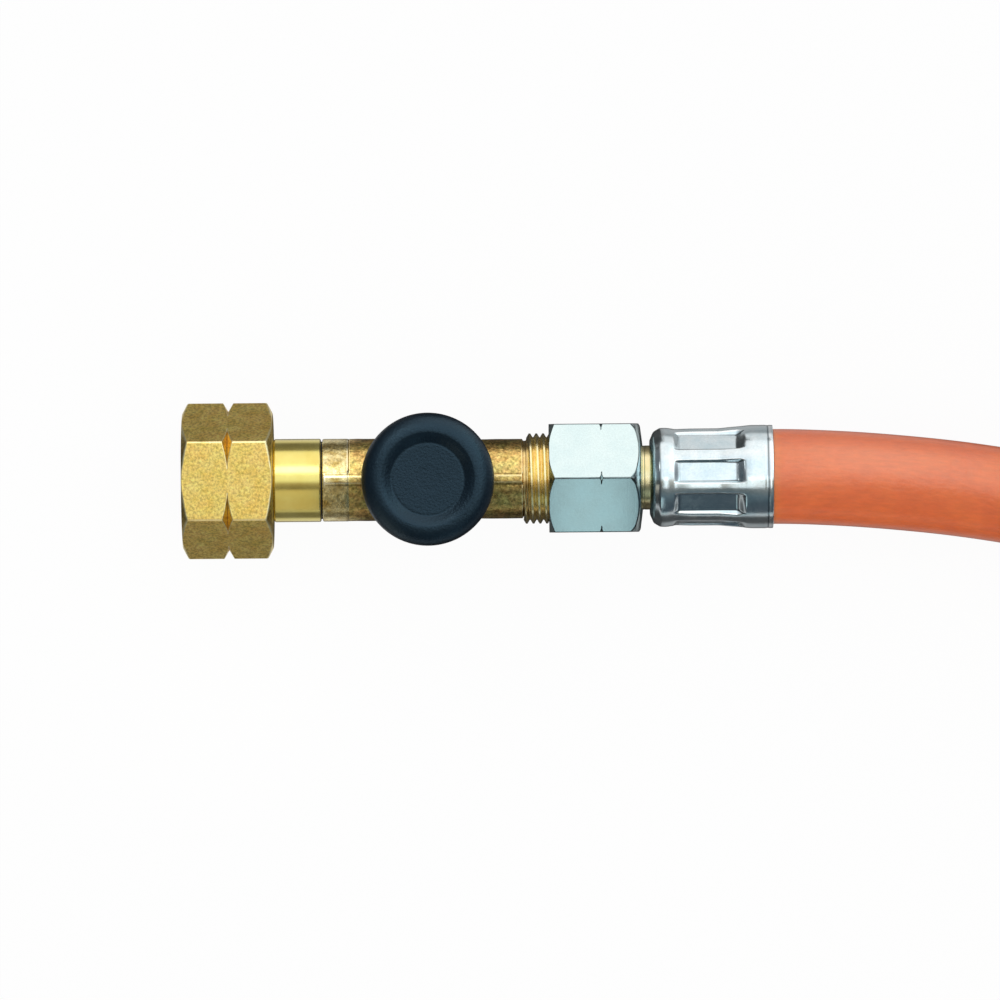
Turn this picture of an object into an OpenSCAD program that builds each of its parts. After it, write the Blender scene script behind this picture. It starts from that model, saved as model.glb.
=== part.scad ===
// Gas hose with a hose rupture valve, for a caravan gas bottle.
//
// X runs along the fittings towards the hose, Z up through the reset button.
// The origin is the centre of the open face of the cylinder nut, on the fittings' axis.
// The part lies on its cylinder nut's lower flat, on the hose and on the far union nut.

/* [Cylinder nut] */
// Width across the flats of the cylinder nut
cyl_nut_af = 30; // [29:0.5:32]
// Length of the cylinder nut
cyl_nut_len = 20; // [19:0.5:24]
// Thickness of the nut's rear wall, which pulls on the nipple's collar
cyl_nut_wall = 4.6; // [3.5:0.1:5]
// Minor radius of the left-hand cylinder thread
cyl_thread_r = 9.738; // [9.6:0.002:9.9]
// Length of the cylinder thread
cyl_thread_len = 11; // [9:0.5:11.5]
// Radius of the relief turned behind the cylinder thread
cyl_relief_r = 11.2; // [10.8:0.1:12]
// Depth of the turned notch round the nut's corners
notch_depth = 1.9; // [1:0.1:2.1]
// Length of the chamfers on the nut's corners
cyl_chamfer_len = 1.7; // [1:0.1:2.5]

/* [Cylinder nipple] */
// Radius of the nipple's stem, on which the cylinder nut turns
stem_r = 7.5; // [7:0.1:7.8]
// Thickness of the nipple's collar
collar_len = 2.3; // [2:0.1:2.8]
// Radius of the gas passage through the nipple
gas_bore_r = 3; // [2.5:0.1:3.5]
// Radius of the nipple's screwed tail
tail_r = 6.5; // [6:0.1:6.8]
// Length of the nipple's screwed tail
tail_len = 10.6; // [8:0.2:11]
// Width of the sealing ring in the collar's face
face_seal_w = 2.6; // [2:0.1:3]
// Thickness of that sealing ring
face_seal_t = 1.6; // [1.2:0.1:2]
// Height that the sealing ring stands proud of the collar
face_seal_proud = 0.4; // [0.2:0.1:0.6]

/* [Neck] */
// Wall of the polished sleeve between nut and body
sleeve_wall = 1.7; // [1.4:0.1:2.5]
// Length of the sleeve
sleeve_len = 10.5; // [8:0.5:14]
// Thickness of the gasket between sleeve and body
gasket_t = 0.4; // [0.3:0.1:1]
// Width of that gasket's ring
gasket_w = 1.1; // [0.8:0.1:1.4]

/* [Valve body] */
// Radius of the body where it is machined, next to the sleeve
machined_r = 9.15; // [8.8:0.05:10]
// Length of the machined stretch
machined_len = 5.8; // [4:0.2:8]
// Radius of the forged body on the inlet side
forged_r = 9.1; // [8.8:0.1:10]
// Radius of the forged body on the outlet side
outlet_r = 8.8; // [8.5:0.1:9.3]
// Length of the forged stretch
forged_len = 38.5; // [38:0.5:44]
// Distance from the start of the forged stretch to the button's axis
button_offset = 17.6; // [16:0.2:18.5]
// Radius of the boss under the button
boss_r = 10; // [9.5:0.1:10.5]
// Height of the boss over the forged body
boss_rise = 3.9; // [3.6:0.1:4.1]
// Radius of the valve chamber
chamber_r = 5.5; // [5.3:0.1:5.8]
// Radius of the outlet passage
outlet_bore_r = 4; // [3:0.1:4.4]
// Width of the ridge left along the forging's parting line
ridge_w = 1.8; // [1:0.1:2.5]
// Height of that ridge
ridge_h = 0.2; // [0.1:0.05:0.3]
// Length of the thread's runout groove
runout_len = 1.1; // [0.8:0.1:1.6]

/* [Rupture valve] */
// Stroke of the piston to its seat
piston_travel = 2.5; // [2:0.1:3]
// Length of the piston's fluted guide
guide_len = 4; // [3:0.2:5]
// Radius of the piston's nose
nose_r = 2.6; // [2.4:0.05:2.8]
// Length of the piston's nose
nose_len = 3; // [2.6:0.1:3.2]
// Length of the cone on the nose's tip
nose_cone_len = 1; // [0.8:0.1:1.1]
// Thickness of the ring that keeps the piston in
retainer_t = 1.2; // [1:0.1:1.5]
// Thickness of the valve seat
seat_t = 3; // [2.5:0.1:3.2]
// Radius of the seat's bore
seat_bore_r = 1.9; // [1.7:0.1:2]
// Wire radius of the piston's spring
piston_wire_r = 0.3; // [0.2:0.02:0.32]
// Turns of the piston's spring
piston_turns = 3; // [2:0.5:3]

/* [Button] */
// Radius of the rubber cap
cap_r = 14.6; // [14:0.1:16]
// Radius of the rounded rim of the cap
cap_rim_r = 2.6; // [2.2:0.1:3]
// Radius of the raised disc in the middle of the cap
cap_disc_r = 7.9; // [7:0.1:8.2]
// Height of the cap's rim over the plate
cap_crown = 4; // [4:0.1:5]
// Height of the skirt below the plate
skirt_len = 6.4; // [6.2:0.1:7]
// Wall of the cap's skirt
skirt_wall = 2.8; // [2.2:0.1:3]
// Room left under the skirt when the button is pressed
skirt_gap = 0.3; // [0.2:0.1:0.6]
// Stroke of the button
button_travel = 4; // [3:0.1:4.1]
// Depth that the cap grips round the plate's edge
plate_grip = 0.8; // [0.5:0.1:1.2]
// Thickness of the plate
plate_t = 2; // [1.6:0.1:2.2]
// Radius of the button's stem
pin_r = 2.5; // [2.2:0.05:2.6]
// Radius of the bush's screwed part
bush_r = 6; // [5.8:0.1:6.4]
// Radius of the bush's head
bush_head_r = 7.5; // [7.2:0.1:8]
// Radius of the spring's pocket in the bush
pocket_r = 4.6; // [4.4:0.1:4.8]
// Mean radius of the button's spring
button_coil_r = 3.7; // [3.5:0.05:3.8]
// Wire radius of the button's spring
button_wire_r = 0.4; // [0.3:0.02:0.42]
// Turns of the button's spring
button_turns = 4; // [3:0.5:4]

/* [Union nuts] */
// Width across the flats of the union nuts
union_af = 24; // [23.5:0.5:25]
// Length of the union nuts
union_len = 20.7; // [20.5:0.1:22]
// Rear wall of the union nuts
union_wall = 4.8; // [4:0.1:5]
// Major radius of the union thread
union_major_r = 10; // [9.9:0.01:10.1]
// Minor radius of the union thread
union_minor_r = 9.188; // [9.1:0.002:9.2]
// Pitch of the union thread
union_pitch = 1.5; // [1:0.25:1.5]
// Distance of the nick on the union nuts' corners from their open face
nick_offset = 11.5; // [9:0.5:13]
// Depth of that nick
nick_depth = 0.5; // [0.2:0.1:0.8]
// Length of male thread that the union nut holds
engagement = 10.9; // [10.6:0.1:11]
// Length of male thread that shows in front of the nut
thread_shown = 4.7; // [3:0.1:7]

/* [Hose and ferrules] */
// Radius of the hose
hose_r = 10.5; // [10:0.1:10.6]
// Radius of the hose's bore
hose_bore_r = 5; // [4.5:0.1:5.4]
// Radius that the ferrule squeezes the hose to
squeezed_r = 9.3; // [8.9:0.1:9.5]
// Length of the ferrules
ferrule_len = 26.6; // [26:0.2:30]
// Radius of the ferrule along its crimped middle
crimp_r = 10.7; // [10.4:0.1:11]
// Radius of the ferrule's shoulder
shoulder_r = 11.1; // [10.9:0.1:11.4]
// Radius of the ferrule's flared mouth
flare_r = 11.45; // [11.3:0.05:11.8]
// Length of the straight lip at the ferrule's mouth
lip_len = 4.5; // [4:0.1:5.5]
// Distance of the crimp marks' floor from the ferrule's back
crimp_offset = 5.6; // [5.2:0.2:6]
// Number of crimp marks round the ferrule
crimps = 8; // [6:1:8]
// Length of the flat floor of a crimp mark
crimp_len = 12.4; // [9:0.2:13]
// Width of a crimp mark
crimp_w = 4.9; // [4:0.1:5]
// Distance of a crimp mark's floor from the axis
crimp_floor_r = 10.1; // [10:0.05:10.2]
// Radius of the hose nipple's neck
neck_r = 7.1; // [6.8:0.1:7.3]
// Length of neck that shows between nut and ferrule
neck_shown = 2.3; // [1.5:0.1:4]
// Number of barbs on the hose nipple
barbs = 6; // [4:1:8]
// Height of each barb
barb_h = 0.35; // [0.2:0.05:0.5]

/* [Clearances] */
// Radial gap where a nut turns on a stem
turn_gap = 0.15; // [0.1:0.01:0.2]
// Gap at each face of a captive nut
face_gap = 0.1; // [0.05:0.01:0.15]
// Radial gap of the button's stem in its bush and seal
pin_gap = 0.04; // [0.02:0.01:0.05]
// Radial gap of the piston in its chamber
piston_gap = 0.15; // [0.1:0.01:0.2]
// Gap between a stop and what meets it
stop_gap = 0.1; // [0.05:0.01:0.15]

/* [Hidden] */
round_fn = 96;
wire_fn = 6;        // sides of a spring's wire
hose_sides = 12;    // sides of the hose's free stretch
eps = 0.01;

// Route of the hose's free stretch, from the mouth of the first ferrule.
ROUTE = [
    [0, 0, 0], [14, -0.5, -0.2], [28, -1.6, -1], [42, -3.2, -2.2], [56, -5.5, -3.4],
    [72, -9.2, -4.3], [88, -15, -4.5], [105, -24.8, -4.5], [120, -38.5, -4.5], [131, -54, -4.5],
    [139, -72, -4.5], [143, -92, -4.5], [143, -112, -4.5], [139, -131, -4.5], [131, -149.5, -4.5],
    [119, -166, -4.5], [104, -180, -4.5], [87, -190, -4.5], [68, -196.5, -4.5], [48, -199.5, -4.2],
    [30, -200, -3.5], [14, -200, -3], [0, -200, -3]
];
ROUTE_START = [1, 0, 0];
ROUTE_END = [-1, 0, 0];

// Stations along X
sleeve_x = cyl_nut_len + face_gap;
gasket_x = sleeve_x + sleeve_len;
sleeve_r = stem_r + sleeve_wall;
body_x = gasket_x + gasket_t;
forged_x = body_x + machined_len;
runout_x = forged_x + forged_len;
thread_x = runout_x + runout_len;
union_x = thread_x + thread_shown;
outlet_x = union_x + engagement;
mouth_x = union_x + union_len + neck_shown + ferrule_len;
button_x = forged_x + button_offset;

// The cylinder nut and its nipple
collar_x = cyl_nut_len - cyl_nut_wall - face_gap - collar_len;
collar_r = cyl_thread_r - 2 * turn_gap;
face_seal_r = collar_r - 0.8;

// The rupture valve, from the ring that keeps the piston in to the seat
clip_w = 0.7;
clip_r = pin_r + clip_w;
retainer_x = button_x + clip_r + 0.7;
piston_x = retainer_x + retainer_t + stop_gap;
nose_x = piston_x + guide_len;
nose_end_x = nose_x + nose_len;
seat_x = nose_end_x + piston_travel + stop_gap;
seat_end_x = seat_x + seat_t;
nose_seal_w = 1;
piston_coil_r = chamber_r - 1.3;

// The button, upwards from the bush's shoulder in the body
cap_wall_r = cap_r - skirt_wall;
plate_r = cap_wall_r + plate_grip;
skirt_bottom = forged_r + ridge_h + button_travel + skirt_gap;
plate_bottom = skirt_bottom + skirt_len;
cap_top = plate_bottom + plate_t + cap_crown;
boss_top = forged_r + boss_rise;
shoulder_z = chamber_r + 0.5;
bush_gasket_t = 0.5;
head_z = boss_top + bush_gasket_t;
head_top = plate_bottom - button_travel - stop_gap;
pocket_z = shoulder_z + 5;
throat_r = clip_r + 1;
clip_t = 0.8;
clip_z = shoulder_z - clip_t - stop_gap;
pin_bottom = clip_z - 1.2;
clip_groove_r = pin_r - 0.6;
pin_seal_z = shoulder_z + 1.4;
pin_seal_t = 1.6;
pin_seal_w = 1.1;
cap_floor = cap_top - 1.6;
cap_disc_top = cap_floor + 0.7;

// The hose fitting, backwards from the ferrule's mouth: stations are negative
ferrule_back = -ferrule_len;
nut_back = ferrule_back - neck_shown;
nut_mouth = nut_back - union_len;
wall_front = nut_back - union_wall;
union_collar_r = union_minor_r - 2 * turn_gap;
male_end = nut_mouth + engagement;
union_collar_x = male_end + 0.3;
o_ring_r = 6.6;
o_ring_w = 1.7;
o_ring_t = 1.6;
o_ring_x = male_end + face_gap / 2;
tail_wall = 1.3;
grip_x = ferrule_back + tail_wall;
nipple_end = -3.6;
flare_start = -3.4;
crimp_x = ferrule_back + crimp_offset;
barb_pitch = (nipple_end - grip_x - 2) / barbs;

// ---- Shapes that repeat ----

// A body turned about X from a list of [x, radius] points.
module turned(points) {
    rotate([0, 90, 0]) rotate_extrude($fn = round_fn) polygon([for (p = points) [p[1], p[0]]]);
}

// A body turned about the button's axis from a list of [radius, z] points.
module turned_up(points) {
    translate([button_x, 0, 0]) rotate_extrude($fn = round_fn) polygon(points);
}

// A ring about X from x0 to x1, between two radii.
module ring(x0, x1, inner_r, outer_r) {
    turned([[x0, inner_r], [x0, outer_r], [x1, outer_r], [x1, inner_r]]);
}

// A seal about X: a ring whose four edges are bevelled.
module seal(x0, x1, inner_r, outer_r) {
    b = min(x1 - x0, outer_r - inner_r) / 4;
    turned([[x0 + b, inner_r], [x0, inner_r + b], [x0, outer_r - b], [x0 + b, outer_r],
        [x1 - b, outer_r], [x1, outer_r - b], [x1, inner_r + b], [x1 - b, inner_r]]);
}

// A hexagonal bar about X; corner_up puts a corner at the top, otherwise a flat is there.
module hexagon(x0, x1, af, corner_up) {
    translate([x0, 0, 0]) rotate([corner_up ? 0 : 30, 0, 0]) rotate([0, 90, 0])
        cylinder(r = af / 2 / cos(30), h = x1 - x0, $fn = 6);
}

// Ring grooves that stand for a male thread between x0 and x1.
function thread_outline(x0, x1, major_r, minor_r, pitch) =
    let (crest = pitch / 8, root = pitch / 4, turns = floor((x1 - x0 - root) / pitch))
    [for (i = [0:turns - 1], k = [0:3])
        let (x = x0 + root + i * pitch, flank = (pitch - crest - root) / 2)
        k == 0 ? [x, minor_r] : k == 1 ? [x + flank, major_r] :
        k == 2 ? [x + flank + crest, major_r] : [x + 2 * flank + crest, minor_r]];

// Points of a tube's rings, and its closed surface.
function ring_points(centre, side, up, r, sides) =
    [for (k = [0:sides - 1]) centre + r * (cos(360 * k / sides) * up + sin(360 * k / sides) * side)];

function tube_faces(rings, sides) = concat(
    [[for (k = [sides - 1:-1:0]) k]],
    [for (i = [0:rings - 2], k = [0:sides - 1]) let (a = i * sides + k, b = i * sides + (k + 1) % sides)
        each [[a, b, b + sides], [a, b + sides, a + sides]]],
    [[for (k = [0:sides - 1]) (rings - 1) * sides + k]]);

// A coil spring along Z from z0 to z1, of closed wire with square-cut ends.
module coil(coil_r, wire_r, turns, z0, z1) {
    steps = ceil(turns * 12);
    rise = z1 - z0 - 2 * wire_r;
    points = [for (i = [0:steps]) let (a = 360 * turns * i / steps, out = [cos(a), sin(a), 0])
        each ring_points([coil_r * cos(a), coil_r * sin(a), z0 + wire_r + rise * i / steps],
            out, [0, 0, 1], wire_r, wire_fn)];
    polyhedron(points, tube_faces(steps + 1, wire_fn), convexity = 10);
}

// ---- Cylinder nut and nipple ----

module cylinder_nut() {
    corner_r = cyl_nut_af / 2 / cos(30);
    rim_r = cyl_nut_af / 2 + 0.1;
    notch_x = cyl_nut_len / 2 + 0.2;
    notch_half = notch_depth * tan(30) + 0.1;
    bore_r = stem_r + turn_gap;
    wall_x = cyl_nut_len - cyl_nut_wall;
    color("goldenrod") difference() {
        intersection() {
            hexagon(0, cyl_nut_len, cyl_nut_af, false);
            turned([[0, 0], [0, rim_r], [cyl_chamfer_len, corner_r + eps],
                [cyl_nut_len - cyl_chamfer_len, corner_r + eps], [cyl_nut_len, rim_r], [cyl_nut_len, 0]]);
        }
        turned([[notch_x - notch_half, corner_r + eps], [notch_x - 0.1, corner_r - notch_depth],
            [notch_x + 0.1, corner_r - notch_depth], [notch_x + notch_half, corner_r + eps]]);
        turned([[-eps, 0], [-eps, cyl_thread_r], [cyl_thread_len, cyl_thread_r],
            [cyl_thread_len + 0.6, cyl_relief_r], [wall_x, cyl_relief_r], [wall_x, bore_r],
            [cyl_nut_len + eps, bore_r], [cyl_nut_len + eps, 0]]);
    }
}

module cylinder_nipple() {
    groove_x = collar_x + face_seal_t - face_seal_proud;
    color("goldenrod") turned([[collar_x, gas_bore_r], [collar_x, face_seal_r - face_seal_w],
        [groove_x, face_seal_r - face_seal_w], [groove_x, face_seal_r], [collar_x, face_seal_r],
        [collar_x, collar_r - 0.3], [collar_x + 0.3, collar_r], [collar_x + collar_len, collar_r],
        [collar_x + collar_len, stem_r], [body_x, stem_r], [body_x, tail_r], [body_x + tail_len, tail_r],
        [body_x + tail_len, gas_bore_r]]);
}

module cylinder_seal() {
    color("dimgray") seal(collar_x - face_seal_proud, collar_x - face_seal_proud + face_seal_t,
        face_seal_r - face_seal_w, face_seal_r);
}

// ---- Neck ----

module neck_sleeve() {
    bevel = 0.35;
    color("gold") turned([[sleeve_x, stem_r], [sleeve_x, sleeve_r - bevel], [sleeve_x + bevel, sleeve_r],
        [gasket_x - bevel, sleeve_r], [gasket_x, sleeve_r - bevel], [gasket_x, stem_r]]);
}

module neck_gasket() {
    color("black") ring(gasket_x, body_x, stem_r, stem_r + gasket_w);
}

// ---- Valve body ----

module body_outline() {
    bevel = 0.3;
    groove_r = union_minor_r - 0.35;
    turned(concat([[body_x, 0], [body_x, machined_r - bevel], [body_x + bevel, machined_r],
        [forged_x, machined_r], [forged_x, forged_r], [button_x, forged_r], [button_x, outlet_r],
        [runout_x - 0.4, outlet_r], [runout_x, groove_r], [thread_x, groove_r]],
        thread_outline(thread_x, outlet_x - 0.6, union_major_r, union_minor_r, union_pitch),
        [[outlet_x, union_minor_r], [outlet_x, 0]]));
}

module parting_ridge() {
    for (side = [-1, 1])
        translate([forged_x, -ridge_w / 2, side > 0 ? 0 : -(outlet_r + ridge_h)])
            cube([forged_len - 0.6, ridge_w, outlet_r + ridge_h]);
}

module valve_body() {
    color("darkgoldenrod") difference() {
        union() {
            body_outline();
            parting_ridge();
            turned_up(concat([for (a = [-90:15:0]) boss_r * [cos(a), sin(a)]],
                [[boss_r, boss_top - 0.6], [boss_r - 0.6, boss_top], [0, boss_top]]));
        }
        turned([[body_x - eps, 0], [body_x - eps, tail_r], [body_x + tail_len, tail_r],
            [body_x + tail_len, chamber_r], [seat_end_x, chamber_r], [seat_end_x, outlet_bore_r],
            [outlet_x + eps, outlet_bore_r], [outlet_x + eps, 0]]);
        turned_up([[0, 0], [throat_r, 0], [throat_r, shoulder_z], [bush_r, shoulder_z],
            [bush_r, boss_top + eps], [0, boss_top + eps]]);
    }
}

// ---- Rupture valve ----

module piston_retainer() {
    color("silver") ring(retainer_x, retainer_x + retainer_t, nose_r, chamber_r);
}

module valve_piston() {
    flutes = 3;
    flute_r = 1.1;
    guide_r = chamber_r - piston_gap;
    seal_x = nose_end_x - 0.2 - nose_seal_w;
    color("gold") difference() {
        turned([[piston_x, 0], [piston_x, guide_r], [nose_x, guide_r], [nose_x, nose_r], [seal_x, nose_r],
            [seal_x, nose_r - 0.5], [seal_x + nose_seal_w, nose_r - 0.5], [seal_x + nose_seal_w, nose_r],
            [nose_end_x, nose_r], [nose_end_x + nose_cone_len, seat_bore_r - 0.6],
            [nose_end_x + nose_cone_len, 0]]);
        for (i = [0:flutes - 1])
            rotate([360 * i / flutes, 0, 0]) translate([piston_x - eps, 0, guide_r])
                rotate([0, 90, 0]) cylinder(r = flute_r, h = guide_len + 2 * eps, $fn = round_fn);
    }
}

module piston_seal() {
    seal_x = nose_end_x - 0.2 - nose_seal_w;
    color("black") seal(seal_x, seal_x + nose_seal_w, nose_r - 0.5, nose_r + 0.4);
}

module piston_spring() {
    color("silver") translate([nose_x, 0, 0]) rotate([0, 90, 0])
        coil(piston_coil_r, piston_wire_r, piston_turns, 0, seat_x - nose_x);
}

module valve_seat() {
    lead = 0.8;
    color("silver") turned([[seat_x, nose_r + 0.1], [seat_x, chamber_r], [seat_end_x, chamber_r],
        [seat_end_x, seat_bore_r], [seat_x + lead, seat_bore_r]]);
}

// ---- Button ----

module button_bush() {
    color("gold") turned_up([[pin_r + pin_gap, shoulder_z], [bush_r, shoulder_z], [bush_r, head_z],
        [bush_head_r, head_z], [bush_head_r, head_top - 0.4], [bush_head_r - 0.4, head_top],
        [pocket_r, head_top], [pocket_r, pocket_z], [pin_r + pin_gap, pocket_z],
        [pin_r + pin_gap, pin_seal_z + pin_seal_t], [pin_r + pin_seal_w, pin_seal_z + pin_seal_t],
        [pin_r + pin_seal_w, pin_seal_z], [pin_r + pin_gap, pin_seal_z]]);
}

module bush_gasket() {
    color("black") turned_up([[bush_r, boss_top], [bush_head_r, boss_top], [bush_head_r, head_z],
        [bush_r, head_z]]);
}

module stem_seal() {
    inner = pin_r + pin_gap;
    outer = pin_r + pin_seal_w;
    top = pin_seal_z + pin_seal_t;
    b = 0.25;
    color("black") turned_up([[inner, pin_seal_z + b], [inner + b, pin_seal_z], [outer - b, pin_seal_z],
        [outer, pin_seal_z + b], [outer, top - b], [outer - b, top], [inner + b, top], [inner, top - b]]);
}

module button_stem() {
    color("silver") turned_up([[0, pin_bottom], [pin_r - 0.4, pin_bottom], [pin_r, pin_bottom + 0.4],
        [pin_r, clip_z], [clip_groove_r, clip_z], [clip_groove_r, clip_z + clip_t],
        [pin_r, clip_z + clip_t], [pin_r, plate_bottom + plate_t], [0, plate_bottom + plate_t]]);
}

module stem_clip() {
    color("silver") turned_up([[clip_groove_r, clip_z], [clip_r, clip_z], [clip_r, clip_z + clip_t],
        [clip_groove_r, clip_z + clip_t]]);
}

module button_spring() {
    color("silver") translate([button_x, 0, 0])
        coil(button_coil_r, button_wire_r, button_turns, pocket_z, plate_bottom);
}

module button_plate() {
    color("silver") turned_up([[pin_r, plate_bottom], [plate_r, plate_bottom],
        [plate_r, plate_bottom + plate_t], [pin_r, plate_bottom + plate_t]]);
}

module button_cap() {
    rim_z = cap_top - cap_rim_r;
    crest_r = cap_r - cap_rim_r;
    foot = 0.8;
    color("darkslategray") translate([button_x, 0, 0]) difference() {
        union() {
            rotate_extrude($fn = round_fn) translate([crest_r, rim_z]) circle(r = cap_rim_r, $fn = round_fn);
            rotate_extrude($fn = round_fn) polygon([[0, skirt_bottom], [cap_r - foot, skirt_bottom],
                [cap_r, skirt_bottom + foot], [cap_r, rim_z], [crest_r, rim_z], [crest_r, cap_floor],
                [cap_disc_r + 0.5, cap_floor], [cap_disc_r, cap_disc_top], [0, cap_disc_top]]);
        }
        rotate_extrude($fn = round_fn) polygon([[0, skirt_bottom - eps], [cap_wall_r, skirt_bottom - eps],
            [cap_wall_r, plate_bottom], [plate_r, plate_bottom], [plate_r, plate_bottom + plate_t],
            [0, plate_bottom + plate_t]]);
    }
}

// ---- Hose fitting: each piece is drawn with the ferrule's mouth at the origin ----

// The union nut; bore_r is the radius of its threaded bore.
module nut_piece(bore_r, corner_up) {
    corner_r = union_af / 2 / cos(30);
    flat_r = union_af / 2;
    neck_bore_r = neck_r + turn_gap;
    nick_x = nut_mouth + nick_offset;
    color("gainsboro") difference() {
        intersection() {
            hexagon(nut_mouth, nut_back, union_af, corner_up);
            turned([[nut_mouth, 0], [nut_mouth, flat_r + 0.3], [nut_mouth + 1.1, corner_r + eps],
                [nut_back - 3.2, corner_r + eps], [nut_back - 1.9, corner_r - 0.8],
                [nut_back - 0.9, flat_r], [nut_back, neck_bore_r + 0.8], [nut_back, 0]]);
        }
        turned([[nick_x - nick_depth, corner_r + eps], [nick_x, corner_r - nick_depth],
            [nick_x + nick_depth, corner_r + eps]]);
        turned([[nut_mouth - eps, 0], [nut_mouth - eps, bore_r + 0.8], [nut_mouth + 0.8, bore_r],
            [male_end, bore_r], [male_end, union_major_r + 0.2], [wall_front, union_major_r + 0.2],
            [wall_front, neck_bore_r], [nut_back + eps, neck_bore_r], [nut_back + eps, 0]]);
    }
}

module nipple_piece() {
    inner = o_ring_r - o_ring_w / 2;
    outer = o_ring_r + o_ring_w / 2;
    floor_x = o_ring_x + o_ring_t;
    front = [[union_collar_x, gas_bore_r], [union_collar_x, inner], [floor_x, inner], [floor_x, outer],
        [union_collar_x, outer], [union_collar_x, union_collar_r], [wall_front - face_gap, union_collar_r],
        [wall_front - face_gap, neck_r], [grip_x, neck_r], [grip_x, hose_bore_r]];
    color("goldenrod") turned(concat(front, barb_outline(), [[nipple_end, hose_bore_r],
        [nipple_end, gas_bore_r]]));
}

// The barbs' outline, which the hose's bore follows.
function barb_outline() = [for (i = [0:barbs - 1], k = [0:1])
    let (x = grip_x + 1 + i * barb_pitch)
    k == 0 ? [x, hose_bore_r + barb_h] : [x + barb_pitch * 0.8, hose_bore_r]];

module o_ring_piece() {
    color("black") seal(o_ring_x, o_ring_x + o_ring_t, o_ring_r - o_ring_w / 2, o_ring_r + o_ring_w / 2);
}

module tail_piece() {
    color("coral") turned(concat([[grip_x, hose_bore_r]], barb_outline(),
        [[nipple_end, hose_bore_r], [0, hose_bore_r], [0, hose_r], [flare_start + 1.4, hose_r],
            [flare_start, squeezed_r], [grip_x, squeezed_r]]));
}

module ferrule_piece() {
    ramp_in = 0.8;
    ramp_out = 1.6;
    crimp_turn = 8;
    top = flare_r + 1;
    rise = top - crimp_floor_r;
    crimp_end = crimp_x + crimp_len;
    color("silver") difference() {
        turned([[ferrule_back, neck_r], [ferrule_back, neck_r + 1.6], [ferrule_back + 0.5, neck_r + 2.9],
            [ferrule_back + 1.3, shoulder_r - 0.35], [ferrule_back + 2.2, shoulder_r],
            [ferrule_back + 3.2, shoulder_r - 0.1], [ferrule_back + 4.6, crimp_r], [-lip_len - 3.5, crimp_r],
            [-lip_len - 1.9, flare_r - 0.15], [-lip_len, flare_r], [-1.2, flare_r], [-0.3, flare_r - 0.25],
            [0, flare_r - 0.6], [0, hose_r], [flare_start + 1.4, hose_r], [flare_start, squeezed_r],
            [grip_x, squeezed_r], [grip_x, neck_r]]);
        for (i = [0:crimps - 1])
            rotate([360 * i / crimps - crimp_turn, 0, 0]) translate([0, crimp_w / 2, 0]) rotate([90, 0, 0])
                linear_extrude(crimp_w) polygon([[crimp_x, crimp_floor_r], [crimp_end, crimp_floor_r],
                    [crimp_end + ramp_out * rise, top], [crimp_x - ramp_in * rise, top]]);
    }
}

// Places a piece at the valve's end, or at the regulator's end of the hose.
module at_valve() {
    translate([mouth_x, 0, 0]) children();
}

module at_regulator() {
    translate([mouth_x, 0, 0] + ROUTE[len(ROUTE) - 1]) children();
}

module union_nut() {
    at_valve() nut_piece(union_major_r + 0.1, true);
}

module hose_nipple() {
    at_valve() nipple_piece();
}

module nipple_o_ring() {
    at_valve() o_ring_piece();
}

module ferrule() {
    at_valve() ferrule_piece();
}

module hose_tail() {
    at_valve() tail_piece();
}

module regulator_nut() {
    at_regulator() nut_piece(union_minor_r, false);
}

module regulator_nipple() {
    at_regulator() nipple_piece();
}

module regulator_o_ring() {
    at_regulator() o_ring_piece();
}

module regulator_ferrule() {
    at_regulator() ferrule_piece();
}

module regulator_hose_tail() {
    at_regulator() tail_piece();
}

// ---- Free stretch of the hose ----

function unit(v) = v / norm(v);

function heading(i) = i == 0 ? ROUTE_START : i == len(ROUTE) - 1 ? ROUTE_END :
    unit(unit(ROUTE[i + 1] - ROUTE[i]) + unit(ROUTE[i] - ROUTE[i - 1]));

module hose() {
    last = len(ROUTE) - 1;
    points = [for (i = [0:last]) let (side = unit(cross(heading(i), [0, 0, 1])), up = cross(side, heading(i)))
        each ring_points([mouth_x, 0, 0] + ROUTE[i], side, up, hose_r, hose_sides)];
    color("coral") polyhedron(points, tube_faces(last + 1, hose_sides), convexity = 6);
}

cylinder_nut();
cylinder_nipple();
cylinder_seal();
neck_sleeve();
neck_gasket();
valve_body();
piston_retainer();
valve_piston();
piston_seal();
piston_spring();
valve_seat();
button_bush();
bush_gasket();
stem_seal();
button_stem();
stem_clip();
button_spring();
button_plate();
button_cap();
union_nut();
hose_nipple();
nipple_o_ring();
ferrule();
hose_tail();
hose();
regulator_hose_tail();
regulator_ferrule();
regulator_nipple();
regulator_o_ring();
regulator_nut();
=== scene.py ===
"""Dresses the gas hose: brass fittings, rupture valve, rubber button, nuts, ferrules and hose.

Sizes are in millimetres and angles in radians, unless a comment or a docstring says otherwise. Outlines are
pairs of a station along the axis that a piece goes round and a radius from it.
"""

from __future__ import annotations

import logging
import math
from dataclasses import dataclass, field
from enum import Enum
from typing import Callable, Sequence

import bmesh
import bpy
import numpy as np
from mathutils import Matrix, Vector, noise

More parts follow.
